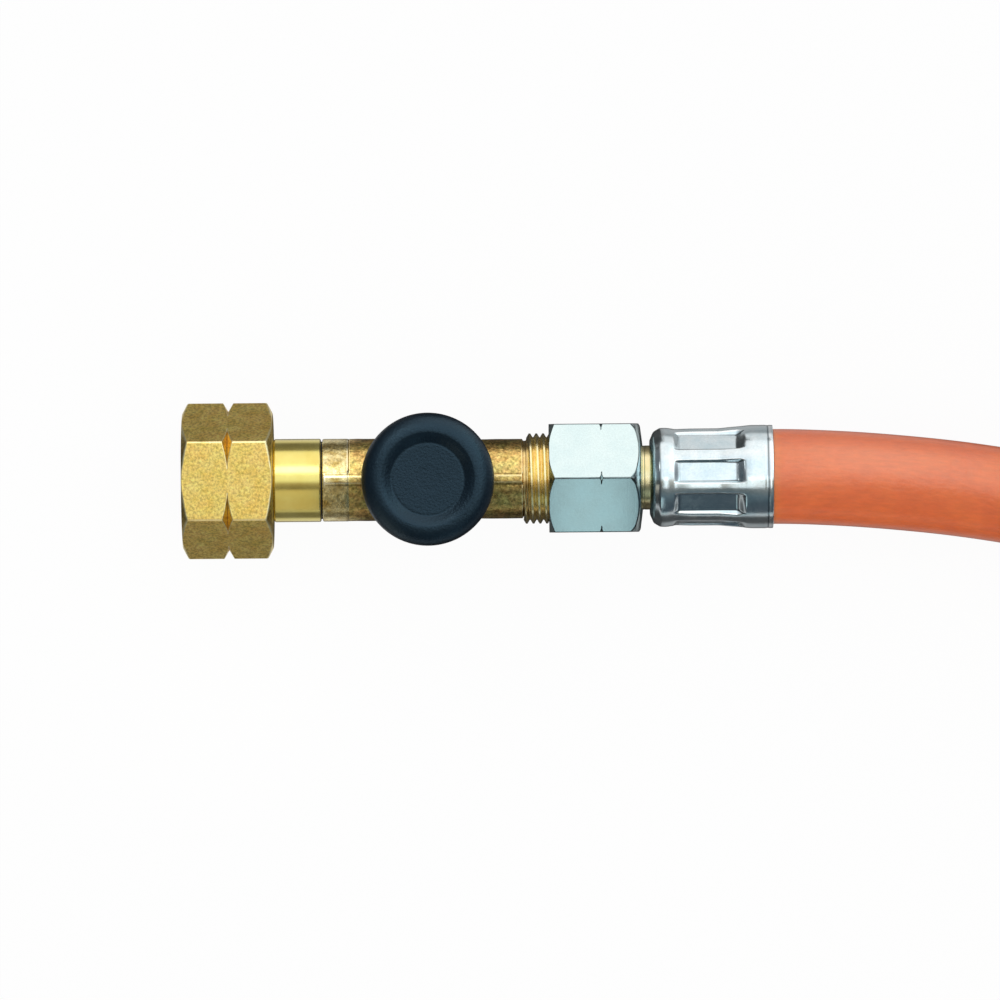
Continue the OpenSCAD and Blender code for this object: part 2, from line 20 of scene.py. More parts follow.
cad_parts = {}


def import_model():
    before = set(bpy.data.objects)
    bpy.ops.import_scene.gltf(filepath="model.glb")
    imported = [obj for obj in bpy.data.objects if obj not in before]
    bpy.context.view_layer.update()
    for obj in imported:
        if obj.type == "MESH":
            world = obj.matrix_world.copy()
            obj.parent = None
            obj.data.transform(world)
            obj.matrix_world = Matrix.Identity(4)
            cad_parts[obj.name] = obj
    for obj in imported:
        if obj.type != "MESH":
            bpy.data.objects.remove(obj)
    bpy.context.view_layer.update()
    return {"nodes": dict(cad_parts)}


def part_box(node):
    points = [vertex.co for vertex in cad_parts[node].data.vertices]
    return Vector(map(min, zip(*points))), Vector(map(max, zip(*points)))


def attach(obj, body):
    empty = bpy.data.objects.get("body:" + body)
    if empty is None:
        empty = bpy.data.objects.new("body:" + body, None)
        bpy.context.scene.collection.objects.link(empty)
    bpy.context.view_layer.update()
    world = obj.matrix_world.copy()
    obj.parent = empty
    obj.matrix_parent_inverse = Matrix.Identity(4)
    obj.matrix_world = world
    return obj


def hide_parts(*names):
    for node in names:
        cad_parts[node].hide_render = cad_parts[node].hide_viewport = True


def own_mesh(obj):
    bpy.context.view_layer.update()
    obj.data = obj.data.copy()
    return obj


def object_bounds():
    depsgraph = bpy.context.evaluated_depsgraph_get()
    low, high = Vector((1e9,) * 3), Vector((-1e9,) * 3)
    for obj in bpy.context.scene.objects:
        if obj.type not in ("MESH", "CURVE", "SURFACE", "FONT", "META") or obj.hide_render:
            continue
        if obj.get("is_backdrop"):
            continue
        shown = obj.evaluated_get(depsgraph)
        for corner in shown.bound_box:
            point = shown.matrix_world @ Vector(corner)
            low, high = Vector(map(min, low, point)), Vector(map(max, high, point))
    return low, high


LOG = logging.getLogger("gas_hose")

MM = 0.001
EDGE_BEND = math.radians(24)  # bend at which an edge counts as a full ridge
SHARP_BEND = math.radians(38)  # bend from which an edge is shaded sharp
CORNER_SHARE = 0.48  # largest share of a side that a corner's rounding takes
LEAST_TAN = 0.05  # keeps the rounding of a needle-sharp corner finite
LONG_STRETCH = 0.8  # length from which a side gets guard points, in millimetres
GUARD = 0.14  # distance of a guard point from its corner, in millimetres
GUARD_SHARE = 0.3  # largest share of a side between a corner and its guard point
WELD = 1e-7  # distance within which points are joined, in metres
HEX_HALF = math.radians(30)
THREAD_FLANK = math.tan(math.radians(30))
THREAD_SINK = 0.05  # depth at which a thread's ridge starts under the surface, in millimetres
UNION_PHASE = math.radians(200)  # where round the axis the M20 threads start

Colour = tuple[float, float, float]
Triple = tuple[float, float, float]
Corner = tuple[float, float, float]
Outline = list[tuple[float, float]]


# ---- Small helpers ----


def span(node: str, axis: int) -> tuple[float, float]:
    """Measures a CAD node along one axis.

    Args:
        node: Name of the CAD node.
        axis: 0 for X, 1 for Y, 2 for Z.

    Returns:
        The lowest and the highest coordinate in millimetres.
    """
    low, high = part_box(node)
    return low[axis] / MM, high[axis] / MM


def smooth_step(low: float, high: float, value: np.ndarray | float) -> np.ndarray | float:
    """Rises smoothly from 0 at low to 1 at high."""
    share = np.clip((value - low) / (high - low), 0.0, 1.0)
    return share * share * (3.0 - 2.0 * share)


def rounded(corners: Sequence[Corner], closed: bool = True, steps: int = 3) -> Outline:
    """Rounds the corners of an outline.

    Args:
        corners: Points of (station, radius, rounding), in millimetres.
        closed: True if the last corner joins the first.
        steps: Pieces of each rounding.

    Returns:
        The outline's points, as many for any sizes of the same corners.
    """
    result: Outline = []
    count = len(corners)
    for index, (station, radius, rounding) in enumerate(corners):
        end = not closed and index in (0, count - 1)
        if rounding <= 0 or end:
            result.append((station, radius))
            continue
        here = Vector((station, radius))
        back = Vector(corners[index - 1][:2]) - here
        ahead = Vector(corners[(index + 1) % count][:2]) - here
        room = CORNER_SHARE * min(back.length, ahead.length)
        turn = back.angle(ahead, math.pi)
        reach = min(rounding / max(math.tan(turn / 2), LEAST_TAN), room)
        first = here + back.normalized() * reach
        last = here + ahead.normalized() * reach
        for step in range(steps + 1):
            t = step / steps
            point = first * (1 - t) ** 2 + here * 2 * t * (1 - t) + last * t * t
            result.append((point.x, point.y))
    return result


def guarded(columns: Sequence[Outline], closed: bool) -> list[Outline]:
    """Adds points close to both ends of the outlines' long sides, so that the ridge colour, wear with painted
    edge light, stays narrow.

    Args:
        columns: Outlines with as many points each.
        closed: True if the last point joins the first.

    Returns:
        The outlines with the added points.
    """
    rows = len(columns[0])
    grids = [np.array(column) for column in columns]
    steps = [np.roll(grid, -1, axis=0) - grid for grid in grids]
    lengths = np.array([np.hypot(step[:, 0], step[:, 1]) for step in steps])
    long_rows = lengths.max(axis=0) > LONG_STRETCH
    if not closed:
        long_rows[-1] = False
    result = []
    for grid, step, length in zip(grids, steps, lengths):
        outline: Outline = []
        for row in range(rows):
            outline.append((float(grid[row][0]), float(grid[row][1])))
            if long_rows[row]:
                share = min(GUARD / max(length[row], 1e-6), GUARD_SHARE)
                for place in (share, 1.0 - share):
                    x, r = grid[row] + step[row] * place
                    outline.append((float(x), float(r)))
        result.append(outline)
    return result


class Axis(Enum):
    """The axis that a shell goes round: its direction, angle zero and angle ninety degrees."""

    FITTING = (Vector((1, 0, 0)), Vector((0, 0, 1)), Vector((0, 1, 0)))
    BUTTON = (Vector((0, 0, 1)), Vector((1, 0, 0)), Vector((0, 1, 0)))


def even_angles(count: int) -> list[float]:
    """Angles spaced evenly round the circle."""
    return [2 * math.pi * k / count for k in range(count)]


def linked(name: str, data: bpy.types.ID) -> bpy.types.Object:
    """Makes an object and links it to the scene.

    Args:
        name: Its name.
        data: Its mesh, lamp or camera.

    Returns:
        The new object.
    """
    made = bpy.data.objects.new(name, data)
    bpy.context.collection.objects.link(made)
    return made


def face_outwards(mesh: bpy.types.Mesh, weld: float = 0.0) -> None:
    """Turns a closed mesh's faces outwards.

    Args:
        mesh: The mesh to change.
        weld: Distance within which points are joined first, in metres, or 0 for none.
    """
    work = bmesh.new()
    work.from_mesh(mesh)
    if weld > 0:
        bmesh.ops.remove_doubles(work, verts=work.verts, dist=weld)
    bmesh.ops.recalc_face_normals(work, faces=work.faces)
    work.to_mesh(mesh)
    work.free()


def bake_modifiers(piece: bpy.types.Object) -> bpy.types.Mesh:
    """Turns a piece with modifiers into a plain mesh and takes the modifiers off.

    Args:
        piece: The piece to change.

    Returns:
        The piece's new mesh.
    """
    evaluated = piece.evaluated_get(bpy.context.evaluated_depsgraph_get())
    mesh = bpy.data.meshes.new_from_object(evaluated)
    piece.modifiers.clear()
    piece.data = mesh
    mesh.name = piece.name
    return mesh


def finish_mesh(mesh: bpy.types.Mesh, sharp: float = SHARP_BEND) -> None:
    """Shades a mesh smoothly between its sharp edges and marks its ridges.

    Args:
        mesh: The mesh to finish.
        sharp: Bend from which an edge stays sharp, in radians.
    """
    mesh.polygons.foreach_set("use_smooth", [True] * len(mesh.polygons))
    mesh.set_sharp_from_angle(angle=sharp)
    work = bmesh.new()
    work.from_mesh(mesh)
    bends = [0.0] * len(work.verts)
    for edge in work.edges:
        if len(edge.link_faces) == 2:
            bend = edge.calc_face_angle_signed(0.0)
            for vert in edge.verts:
                if abs(bend) > abs(bends[vert.index]):
                    bends[vert.index] = bend
    work.free()
    ridge = mesh.attributes.new("ridge", "FLOAT", "POINT")
    ridge.data.foreach_set("value", [max(-1.0, min(1.0, bend / EDGE_BEND)) for bend in bends])


def shell(
    name: str,
    angles: Sequence[float],
    outline_at: Callable[[float], Outline],
    centre: Vector = Vector((0, 0, 0)),
    axis: Axis = Axis.FITTING,
    closed: bool = True,
    sharp: float = SHARP_BEND,
) -> bpy.types.Object:
    """Builds a skin round an axis from one outline for each angle.

    Args:
        name: Name of the new object.
        angles: Angles of the columns, in radians.
        outline_at: Gives the outline of (station, radius) at an angle, in millimetres.
        centre: Point that stations and radii are measured from, in millimetres.
        axis: The axis that the skin goes round.
        closed: True if the outline is a loop, False if it runs from pole to pole.
        sharp: Bend from which an edge stays sharp, in radians.

    Returns:
        The new object, at the origin, with its place in its mesh.
    """
    along, zero, ninety = axis.value
    columns = guarded([outline_at(angle) for angle in angles], closed)
    rows = len(columns[0])
    verts = [
        (centre + along * station + (zero * math.cos(angle) + ninety * math.sin(angle)) * radius) * MM
        for angle, outline in zip(angles, columns)
        for station, radius in outline
    ]
    faces = []
    for column in range(len(angles)):
        other = (column + 1) % len(angles)
        for row in range(rows if closed else rows - 1):
            after = (row + 1) % rows
            faces.append(
                (column * rows + row, column * rows + after, other * rows + after, other * rows + row)
            )
    return solid(name, verts, faces, sharp)


def solid(
    name: str, verts: Sequence[Vector], faces: Sequence[Sequence[int]], sharp: float = SHARP_BEND
) -> bpy.types.Object:
    """Makes a closed mesh object whose faces point outwards.

    Args:
        name: Name of the new object.
        verts: Points in metres.
        faces: Lists of point numbers.
        sharp: Bend from which an edge stays sharp, in radians.

    Returns:
        The new object, linked to the scene.
    """
    mesh = bpy.data.meshes.new(name)
    mesh.from_pydata([tuple(vert) for vert in verts], [], [list(face) for face in faces])
    face_outwards(mesh, WELD)
    finish_mesh(mesh, sharp)
    return linked(name, mesh)


# ---- Node trees and finishes ----


class Graph:
    """A short way to write a node tree."""

    def __init__(self, tree: bpy.types.NodeTree) -> None:
        """Empties the tree and keeps it."""
        self.tree = tree
        tree.nodes.clear()

    def node(self, kind: str, inputs: dict | None = None, **settings: object) -> bpy.types.Node:
        """Adds a node.

        Args:
            kind: Blender's name of the node's type.
            inputs: Socket name or number to a value, or to an output socket to link.
            **settings: The node's own properties.

        Returns:
            The new node.
        """
        made = self.tree.nodes.new(kind)
        for key, value in settings.items():
            setattr(made, key, value)
        for key, value in (inputs or {}).items():
            if isinstance(value, bpy.types.NodeSocket):
                self.tree.links.new(value, made.inputs[key])
            else:
                made.inputs[key].default_value = value
        return made

    def math(self, operation: str, *values: object) -> bpy.types.NodeSocket:
        """Adds a Math node and returns its result."""
        return self.node("ShaderNodeMath", dict(enumerate(values)), operation=operation).outputs[0]

    def mix(self, share: object, first: object, second: object) -> bpy.types.NodeSocket:
        """Mixes two colours by share and returns the result."""
        inputs = {0: share, 6: first, 7: second}
        return self.node("ShaderNodeMix", inputs, data_type="RGBA").outputs[2]

    def multiplied(self, first: object, second: object) -> bpy.types.NodeSocket:
        """Multiplies two colours and returns the result."""
        return self.node("ShaderNodeVectorMath", {0: first, 1: second}, operation="MULTIPLY").outputs[0]

    def scaled(self, colour: object, factor: object) -> bpy.types.NodeSocket:
        """Scales a colour by a factor and returns the result."""
        return self.node("ShaderNodeVectorMath", {0: colour, 3: factor}, operation="SCALE").outputs[0]

    def stretched(self, vector: bpy.types.NodeSocket, scale: Triple) -> bpy.types.NodeSocket:
        """Scales a pattern's coordinates and returns them."""
        return self.node("ShaderNodeMapping", {"Vector": vector, "Scale": scale}).outputs[0]

    def remap(
        self, value: object, low: float, high: float, to_low: float = 0.0, to_high: float = 1.0
    ) -> bpy.types.NodeSocket:
        """Maps a value from one range to another, clamped, and returns the result."""
        inputs = {0: value, 1: low, 2: high, 3: to_low, 4: to_high}
        return self.node("ShaderNodeMapRange", inputs).outputs[0]

    def ramp(
        self, share: bpy.types.NodeSocket, stops: Sequence[tuple[float, Colour]]
    ) -> bpy.types.NodeSocket:
        """Adds a colour ramp.

        Args:
            share: Place on the ramp, from 0 to 1.
            stops: Pairs of a place and its colour, in rising order.

        Returns:
            The ramp's colour.
        """
        made = self.node("ShaderNodeValToRGB", {0: share})
        elements = made.color_ramp.elements
        while len(elements) < len(stops):
            elements.new(0.5)
        for element, (place, colour) in zip(elements, stops):
            element.position = place
            element.color = (*colour, 1.0)
        return made.outputs[0]

    def noise(
        self, vector: bpy.types.NodeSocket, size: float, detail: float = 2.0, rough: float = 0.5
    ) -> bpy.types.NodeSocket:
        """Adds a noise whose blotches are about size millimetres and returns its value."""
        inputs = {"Vector": vector, "Scale": 1 / (size * MM), "Detail": detail, "Roughness": rough}
        return self.node("ShaderNodeTexNoise", inputs).outputs[0]

    def ridge(self) -> bpy.types.NodeSocket:
        """Gives a mesh's mark for ridges, from -1 in a hollow to 1 on an edge."""
        return self.node("ShaderNodeAttribute", attribute_name="ridge").outputs["Fac"]

    def close(self, inputs: dict, height: bpy.types.NodeSocket | None) -> None:
        """Ends a material's tree in one surface shader.

        Args:
            inputs: The shader's inputs.
            height: Relief of the surface in metres, or None for a smooth one.
        """
        if height is not None:
            bump = self.node("ShaderNodeBump", {"Strength": 1.0, "Distance": 1.0, "Height": height})
            inputs["Normal"] = bump.outputs[0]
        surface = self.node("ShaderNodeBsdfPrincipled", inputs)
        self.node("ShaderNodeOutputMaterial", {0: surface.outputs[0]})


def new_material(name: str) -> tuple[bpy.types.Material, Graph, bpy.types.NodeSocket]:
    """Starts a material.

    Args:
        name: Its name.

    Returns:
        The material, its empty tree, and the coordinates of the surface in metres.
    """
    material = bpy.data.materials.new(name)
    material.use_nodes = True
    graph = Graph(material.node_tree)
    return material, graph, graph.node("ShaderNodeTexCoord").outputs["Object"]


@dataclass(frozen=True)
class Metal:
    """A metal finish: two mottled tones, a grain, turning marks, ridges lightened by wear and a painted
    highlight, and painted shade in hollows.
    """

    name: str
    light: Colour
    dark: Colour
    # Colour of ridges: wear with a painted highlight; near black in ZINC, where it paints a dark outline.
    ridge: Colour
    # Colour of hollows and creases: painted shade.
    hollow: Colour
    roughness: float
    spread: float = 0.06
    mottle: float = 3.0
    grain: float = 0.5
    grain_depth: float = 0.0
    turning: float = 0.0
    turning_depth: float = 0.0
    speckle: float = 0.0
    tarnish: float = 0.0

    def mottled(
        self,
        graph: Graph,
        place: bpy.types.NodeSocket,
        blotch: bpy.types.NodeSocket,
        grain: bpy.types.NodeSocket,
    ) -> bpy.types.NodeSocket:
        """Mixes the two tones in blotches, with patches of tarnish and a speckle.

        Args:
            graph: The material's tree.
            place: Coordinates of the surface.
            blotch: The coarse noise.
            grain: The fine noise.

        Returns:
            The colour.
        """
        tone = graph.mix(graph.remap(blotch, 0.35, 0.65), (*self.dark, 1), (*self.light, 1))
        shift = self.tarnish
        if shift:
            patch = graph.noise(graph.stretched(place, (1.0, 1.3, 1.3)), self.mottle * 1.9, 3.0, 0.6)
            reddish = (1 + shift, 1 - shift, 1 - 1.6 * shift, 1)
            greenish = (1 - shift, 1 + 0.5 * shift, 1 - shift, 1)
            tone = graph.multiplied(tone, graph.mix(graph.remap(patch, 0.38, 0.62), greenish, reddish))
        if self.speckle:
            fleck = graph.remap(grain, 0.36, 0.64, 1.0 - self.speckle, 1.0 + self.speckle * 0.55)
            tone = graph.scaled(tone, fleck)
        return tone

    def relief(
        self, graph: Graph, place: bpy.types.NodeSocket, grain: bpy.types.NodeSocket
    ) -> bpy.types.NodeSocket | None:
        """Adds up the grain and the turning marks.

        Args:
            graph: The material's tree.
            place: Coordinates of the surface.
            grain: The fine noise.

        Returns:
            The height in metres, or None for a smooth finish.
        """
        height = graph.math("MULTIPLY", grain, self.grain_depth * MM) if self.grain_depth else None
        if self.turning_depth:
            rings = graph.noise(graph.stretched(place, (1.0, 0.012, 0.012)), self.turning, 2.0, 0.7)
            lines = graph.math("MULTIPLY", rings, self.turning_depth * MM)
            height = lines if height is None else graph.math("ADD", height, lines)
        return height

    def build(self) -> bpy.types.Material:
        """Makes the material.

        Returns:
            The new material.
        """
        material, graph, place = new_material(self.name)
        blotch = graph.noise(place, self.mottle, 5.0, 0.62)
        grain = graph.noise(place, self.grain, 3.0, 0.6)
        tone = self.mottled(graph, place, blotch, grain)
        # Ridges take the ridge colour: wear with a painted highlight, and a painted dark outline on ZINC.
        bend = graph.ridge()
        patchy = graph.remap(blotch, 0.3, 0.6, 0.5, 1.0)
        edge_tint = graph.math("MULTIPLY", graph.remap(bend, 0.25, 0.7), patchy)
        tone = graph.mix(edge_tint, tone, (*self.ridge, 1))
        # Hollows darken towards the hollow colour: painted shade.
        tone = graph.mix(graph.remap(bend, -0.3, -1.0, 0.0, 0.85), tone, (*self.hollow, 1))
        rough = graph.remap(blotch, 0.3, 0.7, self.roughness - self.spread, self.roughness + self.spread)
        inputs = {"Base Color": tone, "Metallic": 1.0, "Roughness": rough}
        graph.close(inputs, self.relief(graph, place, grain))
        return material


@dataclass(frozen=True)
class Rubber:
    """A rubber finish: two soft tones, a fine grain and, on the hose, streaks along it."""

    name: str
    light: Colour
    dark: Colour
    roughness: float
    gloss: float
    tint: Colour = (1.0, 1.0, 1.0)
    coat: float = 0.0
    coat_roughness: float = 0.34
    spread: float = 0.05
    mottle: float = 6.0
    grain: float = 0.4
    grain_depth: float = 0.02
    ripple: float = 0.0
    wear: float = 2.2
    along_hose: bool = False
    streak: float = 0.9
    streak_stretch: Triple = (0.066, 0.25, 0.0)
    streak_depth: float = 0.08

    def build(self) -> bpy.types.Material:
        """Makes the material.

        Returns:
            The new material.
        """
        material, graph, place = new_material(self.name)
        blotch = graph.noise(place, self.mottle, 4.0, 0.6)
        grain = graph.noise(place, self.grain, 3.0, 0.6)
        tone = graph.mix(graph.remap(blotch, 0.3, 0.7), (*self.dark, 1), (*self.light, 1))
        edge_tint = graph.remap(graph.ridge(), 0.35, 1.0, 0.0, 0.3)
        tone = graph.mix(edge_tint, tone, (*[min(1.0, self.wear * part) for part in self.light], 1))
        height = graph.math("MULTIPLY", grain, self.grain_depth * MM)
        if self.ripple:
            wave = graph.noise(place, self.mottle * 0.35, 2.0, 0.5)
            height = graph.math("ADD", height, graph.math("MULTIPLY", wave, self.ripple * MM))
        if self.along_hose:
            skin = graph.node("ShaderNodeUVMap", uv_map="hose").outputs[0]
            streak = graph.noise(graph.stretched(skin, self.streak_stretch), self.streak, 3.0, 0.6)
            height = graph.math("ADD", height, graph.math("MULTIPLY", streak, self.streak_depth * MM))
            tone = graph.scaled(tone, graph.remap(streak, 0.35, 0.65, 0.93, 1.06))
        rough = graph.remap(grain, 0.3, 0.7, self.roughness - self.spread, self.roughness + self.spread)
        inputs = {
            "Base Color": tone,
            "Roughness": rough,
            "Specular IOR Level": self.gloss,
            "Specular Tint": (*self.tint, 1.0),
            "Coat Weight": self.coat,
            "Coat Roughness": self.coat_roughness,
        }
        graph.close(inputs, height)
        return material


class Finish(Enum):
    """Every finish on the hose and its fittings."""

    BLASTED_BRASS = Metal(
        "shot_blasted_brass", (1.0, 0.76, 0.25), (0.88, 0.62, 0.15), (1.0, 0.90, 0.52), (0.24, 0.11, 0.03),
        0.38, 0.05, 2.6, 0.60, 0.048, speckle=0.34, tarnish=0.03,
    )
    FORGED_BRASS = Metal(
        "forging_skin", (0.92, 0.70, 0.26), (0.52, 0.345, 0.105), (0.98, 0.80, 0.40), (0.10, 0.05, 0.02),
        0.31, 0.05, 1.5, 0.62, 0.06, speckle=0.46, tarnish=0.06,
    )
    SCRAPED_BRASS = Metal(
        "scraped_brass", (0.96, 0.84, 0.44), (0.50, 0.35, 0.10), (1.0, 0.92, 0.64), (0.10, 0.05, 0.02),
        0.26, 0.04, 2.2, 0.6, 0.040, 0.10, 0.006, speckle=0.30,
    )
    TURNED_BRASS = Metal(
        "turned_brass", (0.88, 0.79, 0.50), (0.78, 0.65, 0.33), (0.95, 0.84, 0.52), (0.16, 0.07, 0.02),
        0.26, 0.04, 4.0, 0.3, 0.004, 0.10, 0.006,
    )
    POLISHED_BRASS = Metal(
        "polished_brass", (0.80, 0.69, 0.22), (0.74, 0.61, 0.17), (0.95, 0.85, 0.45), (0.14, 0.08, 0.02),
        0.20, 0.03, 5.0, 0.3, 0.0, 0.12, 0.003,
    )
    # Its near-black hollow colour paints shade in the thread's roots and grooves.
    THREAD_BRASS = Metal(
        "thread_brass", (0.94, 0.72, 0.32), (0.80, 0.55, 0.20), (1.0, 0.88, 0.52), (0.04, 0.010, 0.004),
        0.24, 0.04, 1.4, 0.3, 0.004, speckle=0.08,
    )
    # Its near-black ridge colour paints a dark outline along the corners, and its hollow colour paints shade.
    ZINC = Metal(
        "zinc_plate", (0.65, 0.78, 0.78), (0.59, 0.73, 0.74), (0.010, 0.018, 0.022), (0.02, 0.03, 0.04),
        0.19, 0.04, 4.5, 0.35, 0.006, 0.25, 0.003, speckle=0.04,
    )
    BRIGHT_ZINC = Metal(
        "bright_plate", (0.74, 0.81, 0.83), (0.60, 0.71, 0.75), (0.90, 0.94, 0.95), (0.01, 0.02, 0.03),
        0.18, 0.03, 3.0, 0.5, 0.006, speckle=0.04,
    )
    STAINLESS = Metal(
        "stainless_wire", (0.62, 0.62, 0.61), (0.50, 0.50, 0.50), (0.80, 0.80, 0.80), (0.08, 0.08, 0.08),
        0.28, 0.05, 2.0, 0.3, 0.003,
    )
    CAP_RUBBER = Rubber(
        "cap_rubber", (0.0016, 0.0050, 0.0105), (0.0010, 0.0035, 0.008), 0.36, 0.66, (0.44, 0.76, 1.0),
        mottle=5.0, grain=0.55, grain_depth=0.10,
    )
    SEAL_RUBBER = Rubber("seal_rubber", (0.012, 0.012, 0.013), (0.008, 0.008, 0.008), 0.5, 0.4)
    HOSE_RUBBER = Rubber(
        "hose_rubber", (0.78, 0.124, 0.004), (0.70, 0.095, 0.003), 0.38, 1.0, (0.8, 1.0, 0.85), 1.0,
        mottle=7.0, grain=0.55, grain_depth=0.05, ripple=0.18, along_hose=True,
    )


class Wardrobe:
    """Builds each finish once and puts it on the pieces."""

    def __init__(self) -> None:
        """Starts with no material built."""
        self.built: dict[Finish, bpy.types.Material] = {}

    def material(self, finish: Finish) -> bpy.types.Material:
        """Gives the material of a finish, built on first use.

        Args:
            finish: The finish.

        Returns:
            Its material.
        """
        if finish not in self.built:
            self.built[finish] = finish.value.build()
        return self.built[finish]

    def dress(self, piece: bpy.types.Object, finish: Finish, body: str, slot: str, *nodes: str) -> None:
        """Gives a new piece its material and body, and hides the CAD nodes it stands for.

        Args:
            piece: The new piece.
            finish: Its finish.
            body: The CAD body it rides on.
            slot: The record's material slot; not used.
            *nodes: CAD nodes that it replaces.
        """
        piece.data.materials.clear()
        piece.data.materials.append(self.material(finish))
        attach(piece, body)
        if nodes:
            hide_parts(*nodes)
        LOG.info("%s rides on %s and stands for %s", piece.name, body, ", ".join(nodes) or "no node")

    def repaint(self, node: bpy.types.Object, finish: Finish) -> None:
        """Gives a CAD node that stays a finish of its own.

        Args:
            node: The CAD node's object.
            finish: Its finish.
        """
        node.data.materials.clear()
        node.data.materials.append(self.material(finish))
        LOG.info("%s keeps its solid", node.name)


# ---- Threads ----


@dataclass
class ThreadRidge:
    """A helical thread ridge round the fittings' axis, made by Geometry Nodes."""

    name: str
    start: float
    length: float
    pitch: float
    root_r: float
    crest_r: float
    crest_width: float
    left_hand: bool = False
    phase: float = 0.0
    centre: Vector = field(default_factory=lambda: Vector((0, 0, 0)))
    fade: float = 0.35
    end_size: float = 0.03
    steps: int = 56
    sharp: float = math.radians(30)

    def tree(self) -> tuple[bpy.types.NodeTree, dict[str, object]]:
        """Builds the node tree.

        Returns:
            The tree, and the values of its inputs by name.
        """
        height = self.crest_r - self.root_r
        turns = self.length / self.pitch
        values: dict[str, object] = {
            "Turns": turns,
            "Length": self.length * MM,
            "Root radius": self.root_r * MM,
            "Ridge height": abs(height) * MM,
            "Root width": (self.crest_width + 2 * abs(height) * THREAD_FLANK) * MM,
            "Crest width": self.crest_width * MM,
            "Fade": self.fade / turns,
        }
        tree = bpy.data.node_groups.new("thread_ridge", "GeometryNodeTree")
        graph = Graph(tree)
        tree.interface.new_socket(name="Geometry", in_out="OUTPUT", socket_type="NodeSocketGeometry")
        for label in values:
            tree.interface.new_socket(name=label, in_out="INPUT", socket_type="NodeSocketFloat")
        given = graph.node("NodeGroupInput").outputs
        helix = graph.node(
            "GeometryNodeCurveSpiral",
            {
                "Resolution": self.steps,
                "Rotations": given["Turns"],
                "Start Radius": given["Root radius"],
                "End Radius": given["Root radius"],
                "Height": given["Length"],
                "Reverse": not self.left_hand,
            },
        )
        upright = graph.node("GeometryNodeSetCurveNormal", {0: helix.outputs[0]}, mode="Z_UP")
        share = graph.node("GeometryNodeSplineParameter").outputs["Factor"]
        nearest = graph.math("MINIMUM", share, graph.math("SUBTRACT", 1.0, share))
        swell = graph.math("ADD", graph.math("DIVIDE", nearest, given["Fade"]), self.end_size)
        size = graph.math("MINIMUM", swell, 1.0)
        profile = graph.node(
            "GeometryNodeCurvePrimitiveQuadrilateral",
            {
                "Bottom Width": given["Root width"],
                "Top Width": given["Crest width"],
                "Height": given["Ridge height"],
                "Offset": 0.0,
            },
            mode="TRAPEZOID",
        )
        half = graph.math("MULTIPLY", given["Ridge height"], 0.5)
        lift = graph.node("ShaderNodeCombineXYZ", {1: half}).outputs[0]
        raised = graph.node("GeometryNodeTransform", {0: profile.outputs[0], "Translation": lift})
        outward = (height > 0) != self.left_hand
        turn = (0.0, 0.0, -math.pi / 2 if outward else math.pi / 2)
        turned = graph.node("GeometryNodeTransform", {0: raised.outputs[0], "Rotation": turn})
        sweep = graph.node(
            "GeometryNodeCurveToMesh",
            {
                "Curve": upright.outputs[0],
                "Profile Curve": turned.outputs[0],
                "Scale": size,
                "Fill Caps": True,
            },
        )
        real = graph.node("GeometryNodeRealizeInstances", {0: sweep.outputs[0]})
        dressed = graph.node("GeometryNodeSetMaterial", {0: real.outputs[0]})
        graph.node("NodeGroupOutput", {0: dressed.outputs[0]})
        return tree, values

    def build(self, material: bpy.types.Material) -> bpy.types.Object:
        """Makes the ridge as a plain mesh.

        Args:
            material: The material that the tree sets.

        Returns:
            The new object.
        """
        tree, values = self.tree()
        for made in tree.nodes:
            if made.bl_idname == "GeometryNodeSetMaterial":
                made.inputs["Material"].default_value = material
        carrier = linked(self.name, bpy.data.meshes.new(self.name))
        modifier = carrier.modifiers.new("thread", "NODES")
        modifier.node_group = tree
        for socket in tree.interface.items_tree:
            if socket.in_out == "INPUT":
                modifier[socket.identifier] = values[socket.name]
        mesh = bake_modifiers(carrier)
        place = Matrix.Translation((self.centre + Vector((self.start, 0, 0))) * MM)
        mesh.transform(place @ Matrix.Rotation(self.phase, 4, "X") @ Matrix.Rotation(math.pi / 2, 4, "Y"))
        face_outwards(mesh)
        finish_mesh(mesh, self.sharp)
        return carrier


# ---- Hexagonal bar ----


